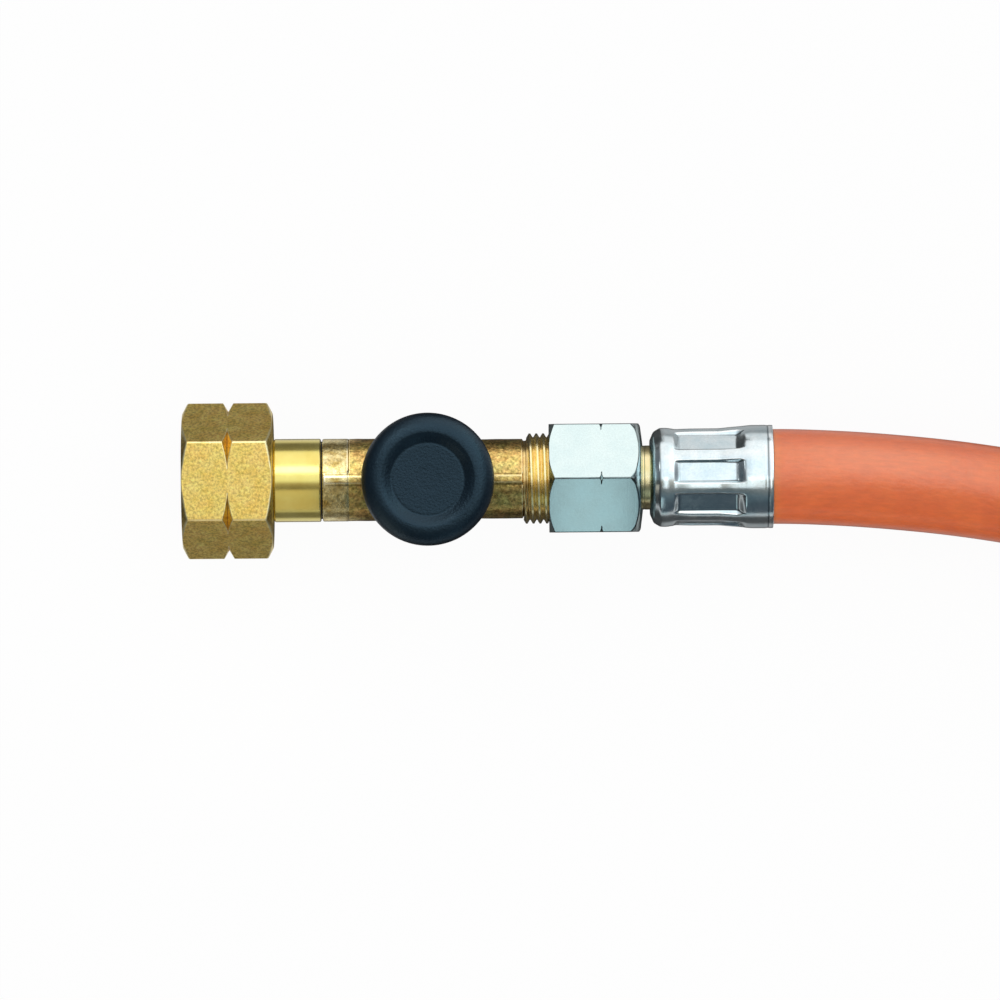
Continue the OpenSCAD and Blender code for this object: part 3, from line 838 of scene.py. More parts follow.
@dataclass(frozen=True)
class HexBar:
    """A hexagonal section with slightly rounded corners."""

    across_flats: float
    rounding: float
    corner_up: bool
    flat_columns: int = 31
    corner_margin: float = 0.025

    @property
    def flat_r(self) -> float:
        """Distance of a flat from the axis."""
        return self.across_flats / 2

    @property
    def corner_r(self) -> float:
        """Distance of the rounded corner's tip from the axis."""
        return (self.flat_r - self.rounding) / math.cos(HEX_HALF) + self.rounding

    def straight_half(self) -> float:
        """Angle from a flat's middle to where its corner begins."""
        half_side = (self.flat_r - self.rounding) * math.tan(HEX_HALF)
        return math.atan2(half_side, self.flat_r)

    def angles(self) -> list[float]:
        """Places the columns round the bar, close together at its corners.

        Returns:
            The columns' angles.
        """
        limit = self.straight_half()
        reach = math.tan(limit)
        inner = 1 - self.corner_margin
        last = self.flat_columns - 3
        shares = [-1.0, *(inner * (2 * k / last - 1) for k in range(last + 1)), 1.0]
        flats = [math.atan(reach * share) for share in shares]
        corner = [limit + (HEX_HALF - limit) * share for share in (0.5, 1.0, 1.5)]
        first = HEX_HALF if self.corner_up else 0.0
        return [first + side * 2 * HEX_HALF + angle for side in range(6) for angle in flats + corner]

    def radius(self, angle: float) -> float:
        """Finds the distance of the bar's surface from the axis.

        Args:
            angle: Angle round the axis.

        Returns:
            The distance in millimetres.
        """
        first = HEX_HALF if self.corner_up else 0.0
        turn = (angle - first + HEX_HALF) % (2 * HEX_HALF) - HEX_HALF
        if abs(turn) <= self.straight_half() + 1e-9:
            return self.flat_r / math.cos(turn)
        reach = (self.flat_r - self.rounding) / math.cos(HEX_HALF)
        away = HEX_HALF - abs(turn)
        return reach * math.cos(away) + math.sqrt(max(0.0, self.rounding**2 - (reach * math.sin(away)) ** 2))


# ---- Cylinder end ----


@dataclass
class CylinderNut:
    """The blasted brass nut with its notch and left-hand thread."""

    node: str = "cylinder_nut"
    corner_rounding: float = 0.55
    soft: float = 0.55
    crisp: float = 0.1
    rim_extra: float = -0.1
    chamfer: float = 1.2
    least_chamfer: float = 0.10
    notch_depth: float = 1.94
    notch_shift: float = 0.2
    least_notch: float = 0.12
    wall: float = 4.6
    bore_r: float = 7.65
    bore_bevel: float = 0.4
    mouth_bevel: float = 0.5
    thread_crest_r: float = 9.738
    thread_root_r: float = 10.86
    thread_pitch: float = 25.4 / 14
    thread_length: float = 11.0
    thread_margin: float = 0.5
    relief_r: float = 11.2

    def outline(self, bar: HexBar, length: float) -> Callable[[float], Outline]:
        """Gives the function that draws the nut's section at an angle.

        Args:
            bar: The nut's hexagon.
            length: Length of the nut.

        Returns:
            A function from an angle to a closed outline.
        """
        rim_r = bar.flat_r + self.rim_extra
        floor_r = bar.corner_r - self.notch_depth
        notch_x = length / 2 + self.notch_shift
        wall_x = length - self.wall
        root_r, bore_r, crisp = self.thread_root_r, self.bore_r, self.crisp

        def section(angle: float) -> Outline:
            """Draws the section at one angle.

            Args:
                angle: Angle round the axis.

            Returns:
                The closed outline there.
            """
            flat = bar.radius(angle)
            share = max(0.0, (flat - rim_r) / (bar.corner_r - rim_r))
            back = max(self.chamfer * share, self.least_chamfer)
            rim = min(rim_r, flat)
            floor = min(flat, floor_r)
            half = max((flat - floor_r) * THREAD_FLANK, self.least_notch)
            return rounded([
                (0.0, root_r + self.mouth_bevel, 0.0), (0.0, rim, self.soft), (back, flat, self.soft),
                (notch_x - half, flat, 0.2), (notch_x, floor, 0.12), (notch_x + half, flat, 0.2),
                (length - back, flat, self.soft), (length, rim, self.soft),
                (length, bore_r + self.bore_bevel, crisp), (length - self.bore_bevel, bore_r, crisp),
                (wall_x, bore_r, crisp), (wall_x, self.relief_r, 0.3),
                (self.thread_length + 0.3, self.relief_r, crisp), (self.thread_length, root_r, crisp),
                (self.mouth_bevel, root_r, crisp),
            ])

        return section

    def build(self, wardrobe: Wardrobe) -> None:
        """Makes the nut and its thread, and dresses them.

        Args:
            wardrobe: The finishes.
        """
        start, end = span(self.node, 0)
        low, high = span(self.node, 2)
        bar = HexBar(high - low, self.corner_rounding, corner_up=False)
        nut = shell("cylinder_nut_forging", bar.angles(), self.outline(bar, end - start))
        wardrobe.dress(nut, Finish.BLASTED_BRASS, "cylinder_nut", "forged_brass", self.node)
        ridge = ThreadRidge(
            "cylinder_nut_thread", self.thread_margin, self.thread_length - 2 * self.thread_margin,
            self.thread_pitch, self.thread_root_r + THREAD_SINK, self.thread_crest_r, self.thread_pitch / 6,
            left_hand=True,
        )
        thread = ridge.build(wardrobe.material(Finish.TURNED_BRASS))
        wardrobe.dress(thread, Finish.TURNED_BRASS, "cylinder_nut", "forged_brass", self.node)


@dataclass
class CylinderNipple:
    """The turned nipple inside the cylinder nut, with its sealing ring."""

    gas_bore_r: float = 3.0
    bore_bevel: float = 0.5
    stem_r: float = 7.5
    collar_len: float = 2.3
    tail_r: float = 6.5
    groove_inner_r: float = 5.04
    groove_depth: float = 1.2
    seal_gap: float = 0.06

    def build(self, wardrobe: Wardrobe) -> None:
        """Makes the nipple and the sealing ring, and dresses them.

        Args:
            wardrobe: The finishes.
        """
        start, end = span("cylinder_nipple", 0)
        collar_r = span("cylinder_nipple", 2)[1]
        body_start = span("valve_body", 0)[0]
        seal_start, seal_end = span("cylinder_seal", 0)
        seal_r = span("cylinder_seal", 2)[1]
        back = start + self.collar_len
        nipple = rounded([
            (start, self.gas_bore_r + self.bore_bevel, 0.0), (start, self.groove_inner_r, 0.08),
            (start + self.groove_depth, self.groove_inner_r, 0.0), (start + self.groove_depth, seal_r, 0.0),
            (start, seal_r, 0.08), (start, collar_r, 0.3), (back, collar_r, 0.15),
            (back, self.stem_r, 0.1), (body_start, self.stem_r, 0.1), (body_start, self.tail_r, 0.1),
            (end, self.tail_r, 0.3), (end, self.gas_bore_r, 0.2),
            (start + self.bore_bevel, self.gas_bore_r, 0.1),
        ])
        piece = shell("cylinder_nipple_turned", even_angles(96), lambda _: nipple)
        wardrobe.dress(piece, Finish.TURNED_BRASS, "valve", "turned_brass", "cylinder_nipple")
        inner, outer = self.groove_inner_r + self.seal_gap, seal_r - self.seal_gap
        ring = rounded([
            (seal_start, inner, 0.45), (seal_start, outer, 0.45),
            (seal_end, outer, 0.2), (seal_end, inner, 0.2),
        ], steps=5)
        seal = shell("cylinder_sealing_ring", even_angles(96), lambda _: ring)
        wardrobe.dress(seal, Finish.SEAL_RUBBER, "valve", "seal_rubber", "cylinder_seal")


@dataclass
class Neck:
    """The polished sleeve and the gasket behind it."""

    bore_r: float = 7.5
    bevel: float = 0.4
    rear_bevel: float = 0.2

    def build(self, wardrobe: Wardrobe) -> None:
        """Makes the sleeve and the gasket, and dresses them.

        Args:
            wardrobe: The finishes.
        """
        start, end = span("neck_sleeve", 0)
        outer = span("neck_sleeve", 2)[1]
        bevel = self.bevel
        sleeve = rounded([
            (start, self.bore_r, 0.05), (start, outer - bevel, 0.1), (start + bevel, outer, 0.15),
            (end - self.rear_bevel, outer, 0.1), (end, outer - self.rear_bevel, 0.05),
            (end, self.bore_r, 0.05),
        ])
        piece = shell("neck_sleeve_polished", even_angles(128), lambda _: sleeve)
        wardrobe.dress(piece, Finish.POLISHED_BRASS, "valve", "polished_brass", "neck_sleeve")
        start, end = span("neck_gasket", 0)
        outer = span("neck_gasket", 2)[1]
        gasket = rounded([
            (start, self.bore_r, 0.0), (start, outer, 0.12), (end, outer, 0.12), (end, self.bore_r, 0.0),
        ])
        washer = shell("neck_gasket_ring", even_angles(96), lambda _: gasket)
        wardrobe.dress(washer, Finish.SEAL_RUBBER, "valve", "seal_rubber", "neck_gasket")


# ---- Valve body ----


@dataclass
class ValveBody:
    """The valve body: a turned end, a forging with its boss, and the male thread."""

    machined_len: float = 5.8
    machined_r: float = 9.15
    inlet_r: float = 9.1
    inlet_bevel: float = 0.18
    line_half: float = 0.14
    line_depth: float = 0.12
    outlet_r: float = 8.8
    narrowing_half: float = 4.0
    boss_r: float = 10.0
    boss_top: float = 13.0
    boss_edge: float = 0.6
    blend: float = 1.6
    ridge_half: float = 0.85
    ridge_height: float = 0.2
    runout_len: float = 1.1
    groove_r: float = 8.84
    scribe_r: float = 8.4
    thread_len: float = 15.6
    thread_inset: float = 0.5
    thread_short: float = 0.25
    thread_fade: float = 0.2
    pitch: float = 1.5
    major_r: float = 10.0
    minor_r: float = 9.16
    crest_width: float = 0.36
    inlet_bore_r: float = 6.5
    inlet_bore_len: float = 10.6
    chamber_r: float = 5.5
    outlet_bore_r: float = 4.0
    outlet_bevel: float = 0.4
    chamber_end: float = 72.2
    bush_bore_r: float = 4.2
    bush_hole_r: float = 6.0
    columns: int = 144
    step: float = 0.45
    wall_steps: int = 46
    wall_outside: float = 2.2
    wall_inside: float = 1.6
    least_step: float = 0.03
    search: tuple[float, float] = (6.0, 16.0)
    halvings: int = 26
    wobble: float = 0.05
    wobble_size: float = 3.5

    def distance(self, x: np.ndarray, y: np.ndarray, z: np.ndarray, button_x: float) -> np.ndarray:
        """Gives the distance from the forging's surface.

        Args:
            x: Stations along the fittings.
            y: Places across.
            z: Heights.
            button_x: Station of the button's axis.

        Returns:
            Distances in millimetres, negative inside.
        """
        away = np.hypot(x - button_x, y)
        narrowed = smooth_step(-self.narrowing_half, self.narrowing_half, x - button_x)
        tube = np.hypot(y, z) - (self.inlet_r + (self.outlet_r - self.inlet_r) * narrowed)
        edge = self.boss_edge
        side = away - (self.boss_r - edge)
        up = np.abs(z - self.boss_top / 2) - (self.boss_top / 2 - edge)
        outside = np.hypot(np.maximum(side, 0.0), np.maximum(up, 0.0))
        boss = np.minimum(np.maximum(side, up), 0.0) + outside - edge
        belly = np.hypot(away, z) - self.boss_r
        boss = np.minimum(boss, belly)
        share = np.clip(0.5 + 0.5 * (boss - tube) / self.blend, 0.0, 1.0)
        return boss * (1 - share) + tube * share - self.blend * share * (1 - share)

    def forging_radii(self, stations: np.ndarray, angles: np.ndarray, button_x: float) -> np.ndarray:
        """Finds the forging's radius at each station and angle by halving.

        Args:
            stations: Stations along the fittings.
            angles: Angles of the columns.
            button_x: Station of the button's axis.

        Returns:
            Radii in millimetres, one row for each station.
        """
        x = stations[:, None] + 0.0 * angles[None, :]
        across, up = np.sin(angles)[None, :], np.cos(angles)[None, :]
        low, high = (np.full_like(x, limit) for limit in self.search)
        for _ in range(self.halvings):
            middle = (low + high) / 2
            outside = self.distance(x, middle * across, middle * up, button_x) > 0
            high = np.where(outside, middle, high)
            low = np.where(outside, low, middle)
        radii = (low + high) / 2
        half = smooth_step(self.ridge_half + 0.25, self.ridge_half - 0.15, np.abs(radii * across))
        return radii + self.ridge_height * half

    def stations(self, start: float, end: float, button_x: float, forged_x: float) -> np.ndarray:
        """Places the forging's stations, close together at the boss's walls and at the scribed line.

        Args:
            start: First station.
            end: Last station.
            button_x: Station of the button's axis.
            forged_x: Station of the scribed line.

        Returns:
            Stations in rising order.
        """
        coarse = np.arange(start, end, self.step)
        left = button_x - self.boss_r + np.linspace(-self.wall_outside, self.wall_inside, self.wall_steps)
        right = button_x + self.boss_r + np.linspace(-self.wall_inside, self.wall_outside, self.wall_steps)
        line = forged_x + np.linspace(-self.line_half, self.line_half, 5)
        both = np.unique(np.round(np.concatenate([coarse, left, right, line, [start, end]]), 4))
        keep = [both[0]]
        for station in both[1:]:
            if station - keep[-1] > self.least_step:
                keep.append(station)
        return np.array(keep)

    def outline(
        self, body_start: float, button_x: float, runout_x: float, end: float
    ) -> tuple[list[float], Callable[[float], Outline]]:
        """Draws the whole body: its outside, its outlet and the chamber in it.

        Args:
            body_start: Station of the inlet face.
            button_x: Station of the button's axis.
            runout_x: Station where the thread's groove begins.
            end: Station of the outlet face.

        Returns:
            Angles of the columns, and a function from an angle to its closed outline.
        """
        forged_x = body_start + self.machined_len
        angles = even_angles(self.columns)
        stations = self.stations(body_start + 0.35, runout_x - 0.2, button_x, forged_x)
        radii = self.forging_radii(stations, np.array(angles), button_x)
        thread_x = runout_x + self.runout_len
        bore_end = body_start + self.inlet_bore_len
        front = rounded([
            (body_start, self.inlet_bore_r, 0.0), (body_start, self.machined_r - self.inlet_bevel, 0.08),
            (body_start + self.inlet_bevel, self.machined_r, 0.1), (body_start + 0.3, self.machined_r, 0.0),
        ], closed=False)
        back = rounded([
            (runout_x - 0.1, self.outlet_r - 0.02, 0.05), (runout_x + 0.1, self.scribe_r, 0.05),
            (runout_x + 0.65, self.scribe_r, 0.05), (runout_x + 0.8, self.groove_r, 0.08),
            (thread_x, self.groove_r, 0.1), (thread_x + 0.3, self.minor_r, 0.05),
            (end - 0.5, self.minor_r, 0.1), (end, self.minor_r - 0.5, 0.05),
            (end, self.outlet_bore_r + self.outlet_bevel, 0.05),
            (end - self.outlet_bevel, self.outlet_bore_r, 0.0),
            (self.chamber_end, self.outlet_bore_r, 0.0), (self.chamber_end, self.chamber_r, 0.0),
            (bore_end, self.chamber_r, 0.0), (bore_end, self.inlet_bore_r, 0.0),
            (body_start, self.inlet_bore_r, 0.0),
        ], closed=False)[:-1]

        def section(angle: float) -> Outline:
            """Draws the section at one angle.

            Args:
                angle: Angle round the axis.

            Returns:
                The closed outline there.
            """
            column = int(round(angle / (2 * math.pi) * self.columns)) % self.columns
            skin = []
            for station, radius in zip(stations, radii[:, column]):
                across = radius * math.sin(angle)
                place = Vector((station, across, radius * math.cos(angle))) / self.wobble_size
                inside = smooth_step(forged_x, forged_x + 2, station)
                inside *= smooth_step(runout_x, runout_x - 2, station)
                radius += self.wobble * inside * noise.noise(place)
                radius += (self.machined_r - self.inlet_r) * smooth_step(forged_x, forged_x - 0.3, station)
                near = max(0.0, 1.0 - abs(station - forged_x) / self.line_half)
                radius -= self.line_depth * near * smooth_step(0.8, 2.5, across)
                skin.append((float(station), float(radius)))
            return front + skin + back

        return angles, section

    def build(self, wardrobe: Wardrobe) -> None:
        """Makes the body, with the bush's hole cut in it, and the thread, and dresses them.

        Args:
            wardrobe: The finishes.
        """
        start, end = span("valve_body", 0)
        cap_low, cap_high = span("button_cap", 0)
        button_x = (cap_low + cap_high) / 2
        runout_x = end - self.thread_len - self.runout_len
        angles, section = self.outline(start, button_x, runout_x, end)
        body = shell("valve_body_forging", angles, section)
        self.cut_bush_hole(body, button_x)
        wardrobe.dress(body, Finish.FORGED_BRASS, "valve", "forged_brass", "valve_body")
        self.paint_turned(body, wardrobe, start, runout_x)
        ridge = ThreadRidge(
            "valve_body_thread", runout_x + self.thread_inset, self.thread_len - self.thread_short,
            self.pitch, self.minor_r - THREAD_SINK, self.major_r, self.crest_width, phase=UNION_PHASE,
            fade=self.thread_fade,
        )
        thread = ridge.build(wardrobe.material(Finish.THREAD_BRASS))
        wardrobe.dress(thread, Finish.THREAD_BRASS, "valve", "forged_brass", "valve_body")

    def cut_bush_hole(self, body: bpy.types.Object, button_x: float) -> None:
        """Cuts the stepped hole for the button's bush through the boss into the chamber.

        Args:
            body: The body's object.
            button_x: Station of the button's axis.
        """
        bush_low = span("button_bush", 2)[0]
        above = self.boss_top + 1.0
        hole = [
            (0.0, 0.0), (0.0, self.bush_bore_r), (bush_low, self.bush_bore_r),
            (bush_low, self.bush_hole_r), (above, self.bush_hole_r), (above, 0.0),
        ]
        centre = Vector((button_x, 0, 0))
        tool = shell("bush_hole", even_angles(64), lambda _: hole, centre, Axis.BUTTON, closed=False)
        cut = body.modifiers.new("bush hole", "BOOLEAN")
        cut.operation = "DIFFERENCE"
        cut.solver = "EXACT"
        cut.object = tool
        bake_modifiers(body)
        bpy.data.objects.remove(tool)

    def paint_turned(self, body: bpy.types.Object, wardrobe: Wardrobe, start: float, runout_x: float) -> None:
        """Gives the turned end, the groove and the thread's core their own finishes.

        Args:
            body: The body's object.
            wardrobe: The finishes.
            start: Station of the inlet face.
            runout_x: Station where the thread's groove begins.
        """
        body.data.materials.append(wardrobe.material(Finish.SCRAPED_BRASS))
        body.data.materials.append(wardrobe.material(Finish.THREAD_BRASS))
        forged, scraped, threaded = range(3)
        scraped_to = start + self.machined_len + 0.1
        threaded_from = runout_x - 0.5
        for face in body.data.polygons:
            x = face.center.x / MM
            if x > threaded_from:
                face.material_index = threaded
            elif x < scraped_to:
                face.material_index = scraped
            else:
                face.material_index = forged


# ---- Button ----


@dataclass
class ButtonCap:
    """The rubber cap of the reset button."""

    crest_r: float = 10.6
    rim_height: float = 3.7
    rim_steps: int = 18
    skirt_wall: float = 2.8
    plate_low: float = 20.0
    plate_high: float = 22.0
    plate_r: float = 12.6
    disc_r: float = 8.05
    groove_r: float = 9.3
    floor_drop: float = 1.35
    sharp: float = math.radians(50)

    def build(self, wardrobe: Wardrobe) -> None:
        """Makes the cap and dresses it.

        Args:
            wardrobe: The finishes.
        """
        low_x, high_x = span("button_cap", 0)
        foot, top = span("button_cap", 2)
        radius = (high_x - low_x) / 2
        crest_z = top - self.rim_height
        floor = top - self.floor_drop
        wall_r = radius - self.skirt_wall
        turns = [math.radians(90 * k / self.rim_steps) for k in range(self.rim_steps + 1)]
        rim_width = radius - self.crest_r
        rim = [
            (crest_z + self.rim_height * math.sin(turn), self.crest_r + rim_width * math.cos(turn))
            for turn in turns
        ]
        inner = rounded([
            (*rim[-1], 0.0), (top - 0.03, self.groove_r + 1.0, 0.8), (top - 0.42, self.groove_r + 0.2, 1.2),
            (floor, self.disc_r, 0.8), (floor + 0.06, self.disc_r - 0.5, 0.3),
            (floor + 0.05, self.disc_r - 1.2, 0.6), (floor + 0.02, 3.2, 1.0),
            (floor - 0.02, 2.2, 1.0), (floor - 0.02, 0.8, 0.5), (floor - 0.05, 0.0, 0.0),
        ], closed=False, steps=6)
        outside = rounded([
            (self.plate_high, 0.0, 0.0), (self.plate_high, self.plate_r, 0.2),
            (self.plate_low, self.plate_r, 0.2), (self.plate_low, wall_r, 0.2),
            (foot, wall_r, 0.35), (foot, radius - 0.4, 0.5),
            (foot + 0.9, radius, 0.8), (crest_z - 0.4, radius, 0.0),
        ], closed=False, steps=4)
        profile = outside + rim + inner[1:]
        cap = shell(
            "button_cap_rubber", even_angles(144), lambda _: profile, Vector(((low_x + high_x) / 2, 0, 0)),
            Axis.BUTTON, closed=False, sharp=self.sharp,
        )
        wardrobe.dress(cap, Finish.CAP_RUBBER, "button", "cap_rubber", "button_cap")


# ---- Hose fitting ----


@dataclass(frozen=True)
class FittingNames:
    """The CAD nodes and bodies of one hose fitting."""

    nut: str
    nipple: str
    o_ring: str
    ferrule: str
    tail: str
    nut_body: str
    hose_body: str = "hose_end"


def on_axis(mouth: Vector, station: float = 0.0) -> Vector:
    """Point at a station on the axis of the fitting that has this mouth."""
    return Vector((station, mouth.y, mouth.z))


@dataclass
class HoseFitting:
    """A union nut, its nipple and o-ring, and the crimped ferrule, at one end of the hose."""

    names: FittingNames
    corner_up: bool
    major_r: float = 10.15
    minor_r: float = 9.30
    pitch: float = 1.5
    crest_width: float = 0.2
    thread_start: float = 0.75
    thread_len: float = 10.2
    corner_rounding: float = 0.42
    rim_extra: float = 0.25
    front_chamfer: float = 1.15
    least_chamfer: float = 0.12
    nut_wall: float = 4.8
    nut_bore_r: float = 7.25
    nut_bevel: float = 0.35
    mouth_bevel: float = 0.5
    shoulder_end: float = 0.8
    nick_offset: float = 11.5
    nick_depth: float = 0.45
    nick_slope: float = 0.7
    least_nick: float = 0.06
    neck_r: float = 7.1
    gas_bore_r: float = 3.0
    bore_bevel: float = 0.4
    collar_gap: float = 0.1
    barbs: int = 6
    barb_r: float = 5.35
    barb_root_r: float = 5.0
    barb_slope: float = 0.8
    o_ring_groove: float = 1.7
    o_ring_inset: float = 0.85
    o_ring_half: float = 0.8
    hose_r: float = 10.5
    hose_bore_r: float = 5.4
    squeezed_r: float = 9.3
    squeezed_gap: float = 0.02
    mouth_len: float = 3.4
    crimps: int = 8
    crimp_turn: float = math.radians(7.5)
    crimp_drift: tuple[float, ...] = (-1.5, -3.5, 7.0, 4.0, 2.0, 1.0, 2.0, 5.0)  # in degrees
    crimp_floor_r: float = 9.92
    crimp_half: float = math.radians(12.4)
    crimp_edge: float = math.radians(3.8)
    crimp_start: float = 5.8
    crimp_len: float = 12.4
    ramp_in: float = 1.5
    ramp_out: float = 2.3
    bulge: float = 0.14
    floor_lift: float = 0.08
    rear_bulge: float = 0.7
    rear_wall: float = 1.3
    smooth_from: float = 2.0
    smooth_before_mouth: float = 2.8
    step: float = 0.55
    least_step: float = 0.05
    fine_steps: int = 400
    blur: int = 12

    @property
    def half_pitch(self) -> float:
        """Half the angle from one crimp mark to the next."""
        return math.pi / self.crimps

    def shoulder(self, bar: HexBar, length: float) -> tuple[np.ndarray, np.ndarray]:
        """Gives the turned shoulder at the nut's back.

        Args:
            bar: The nut's hexagon.
            length: Length of the nut.

        Returns:
            Radii, rising, and the stations where the shoulder has them.
        """
        line = rounded([
            (length - 2.7, bar.corner_r + 0.02, 0.0), (length - 1.7, bar.corner_r - 0.6, 1.2),
            (length - 0.5, bar.flat_r - 0.5, 1.0), (length - 0.05, self.nut_bore_r + self.shoulder_end, 0.0),
        ], closed=False, steps=8)
        radii = np.array([radius for _, radius in line])[::-1]
        stations = np.array([station for station, _ in line])[::-1]
        return radii, stations

    def nut_outline(self, bar: HexBar, length: float) -> Callable[[float], Outline]:
        """Gives the function that draws the union nut's section at an angle.

        Args:
            bar: The nut's hexagon.
            length: Length of the nut.

        Returns:
            A function from an angle to a closed outline, from the nut's mouth.
        """
        radii, stations = self.shoulder(bar, length)
        rim_r = bar.flat_r + self.rim_extra
        bore_r = self.nut_bore_r
        end_r = bore_r + self.shoulder_end
        wall_x = length - self.nut_wall
        floor_r = bar.corner_r - self.nick_depth
        nick = self.nick_offset
        shares = (0.0, 0.05, 0.12, 0.2, 0.3, 0.42, 0.56, 0.72, 0.88)

        def section(angle: float) -> Outline:
            """Draws the section at one angle.

            Args:
                angle: Angle round the axis.

            Returns:
                The closed outline there.
            """
            flat = bar.radius(angle)
            share = max(0.0, (flat - rim_r) / (bar.corner_r - rim_r))
            front = max(self.front_chamfer * share, self.least_chamfer)
            rim = min(rim_r, flat)
            half = max((flat - floor_r) * self.nick_slope, self.least_nick)
            floor = min(flat, floor_r)
            down = [flat + (end_r - flat) * part for part in shares]
            back = [(float(np.interp(radius, radii, stations)), radius, 0.0) for radius in down]
            first = back[0][0]
            return rounded([
                (0.0, self.major_r + self.mouth_bevel, 0.0), (0.0, rim, 0.12), (front, flat, 0.15),
                (nick - half, flat, 0.0), (nick, floor, 0.05), (nick + half, flat, 0.0),
                (first - 0.15, flat, 0.0), (first + 0.02, flat - 0.03, 0.0), *back[1:],
                (length, bore_r + self.nut_bevel, 0.1), (length - self.nut_bevel, bore_r, 0.1),
                (wall_x, bore_r, 0.1), (wall_x, self.major_r, 0.3), (0.6, self.major_r, 0.1),
            ])

        return section

    def build_nut(self, wardrobe: Wardrobe, mouth: Vector) -> None:
        """Makes the union nut and its thread, and dresses them.

        Args:
            wardrobe: The finishes.
            mouth: The ferrule's mouth, which lies on the fitting's axis.
        """
        start, end = span(self.names.nut, 0)
        across = 1 if self.corner_up else 2
        low, high = span(self.names.nut, across)
        bar = HexBar(high - low, self.corner_rounding, self.corner_up)
        section = self.nut_outline(bar, end - start)
        nut = shell(f"{self.names.nut}_plated", bar.angles(), section, on_axis(mouth, start))
        wardrobe.dress(nut, Finish.ZINC, self.names.nut_body, "zinc_steel", self.names.nut)
        ridge = ThreadRidge(
            f"{self.names.nut}_thread", start + self.thread_start, self.thread_len, self.pitch,
            self.major_r + THREAD_SINK, self.minor_r, self.crest_width, phase=UNION_PHASE,
            centre=on_axis(mouth),
        )
        thread = ridge.build(wardrobe.material(Finish.ZINC))
        wardrobe.dress(thread, Finish.ZINC, self.names.nut_body, "zinc_steel", self.names.nut)

    def build_nipple(self, wardrobe: Wardrobe, mouth: Vector) -> None:
        """Makes the nipple and its o-ring, and dresses them.

        Args:
            wardrobe: The finishes.
            mouth: The ferrule's mouth.
        """
        start, end = span(self.names.nipple, 0)
        nut_end = span(self.names.nut, 0)[1]
        collar_r = span(self.names.nipple, 2)[1] - mouth.z
        ring_start, ring_end = span(self.names.o_ring, 0)
        ring_r = span(self.names.o_ring, 2)[1] - mouth.z
        ring_inner = ring_r - self.o_ring_groove
        collar_end = nut_end - self.nut_wall - self.collar_gap
        grip = span(self.names.tail, 0)[0]
        barb_pitch = (end - grip - 2) / self.barbs
        barbs: list[Corner] = []
        for barb in range(self.barbs):
            x = grip + 1 + barb * barb_pitch
            barbs += [(x, self.barb_r, 0.05), (x + self.barb_slope * barb_pitch, self.barb_root_r, 0.05)]
        nipple = rounded([
            (start, self.gas_bore_r + self.bore_bevel, 0.0), (start, ring_inner, 0.08),
            (ring_end, ring_inner, 0.0), (ring_end, ring_r, 0.0),
            (start, ring_r, 0.08), (start, collar_r, 0.3),
            (collar_end, collar_r, 0.2), (collar_end, self.neck_r, 0.1), (nut_end + 0.3, self.neck_r, 0.0),
            (nut_end + 0.4, self.neck_r - 0.08, 0.05), (nut_end + 0.5, self.neck_r, 0.05),
            (grip, self.neck_r, 0.1), (grip, self.barb_root_r, 0.1), *barbs,
            (end, self.barb_root_r, 0.2), (end, self.gas_bore_r, 0.1),
            (start + self.bore_bevel, self.gas_bore_r, 0.1),
        ])
        piece = shell(f"{self.names.nipple}_turned", even_angles(96), lambda _: nipple, on_axis(mouth))
        wardrobe.dress(piece, Finish.TURNED_BRASS, self.names.hose_body, "turned_brass", self.names.nipple)
        middle = (ring_start + ring_end) / 2
        half = (ring_end - ring_start) / 2
        centre_r = ring_r - self.o_ring_inset
        round_ring = [
            (middle - half * math.cos(turn), centre_r + self.o_ring_half * math.sin(turn))
            for turn in even_angles(20)
        ]
        ring = shell(f"{self.names.o_ring}_rubber", even_angles(96), lambda _: round_ring, on_axis(mouth))
        wardrobe.dress(ring, Finish.SEAL_RUBBER, self.names.hose_body, "seal_rubber", self.names.o_ring)

    def crimp_places(self) -> tuple[np.ndarray, np.ndarray]:
        """Places the crimp marks, with one more at each end of the circle.

        Returns:
            Their even angles and their real, slightly uneven ones.
        """
        marks = np.arange(-1, self.crimps + 1)
        even = self.crimp_turn + marks * 2 * math.pi / self.crimps
        drift = np.radians([self.crimp_drift[mark % self.crimps] for mark in marks])
        return even, even + drift

    def ferrule_columns(self) -> list[float]:
        """Places the ferrule's columns, close together at the crimp marks' edges.

        Returns:
            The columns' angles.
        """
        edge = self.crimp_half + self.crimp_edge
        half_pitch = self.half_pitch
        pocket = [self.crimp_half * share for share in (0.0, 0.3, 0.6, 0.85, 1.0)]
        wall = [self.crimp_half + self.crimp_edge * share for share in (0.15, 0.3, 0.45, 0.6, 0.8, 1.0)]
        plain = [edge + (half_pitch - edge) * share for share in (0.08, 0.2, 0.34, 0.48, 0.62, 0.76, 0.88)]
        right = pocket + wall + plain
        one = [-angle for angle in reversed(right[1:])] + right + [half_pitch]
        pitch = 2 * half_pitch
        even = [self.crimp_turn + crimp * pitch + angle for crimp in range(self.crimps) for angle in one]
        return [float(angle) for angle in np.interp(even, *self.crimp_places())]

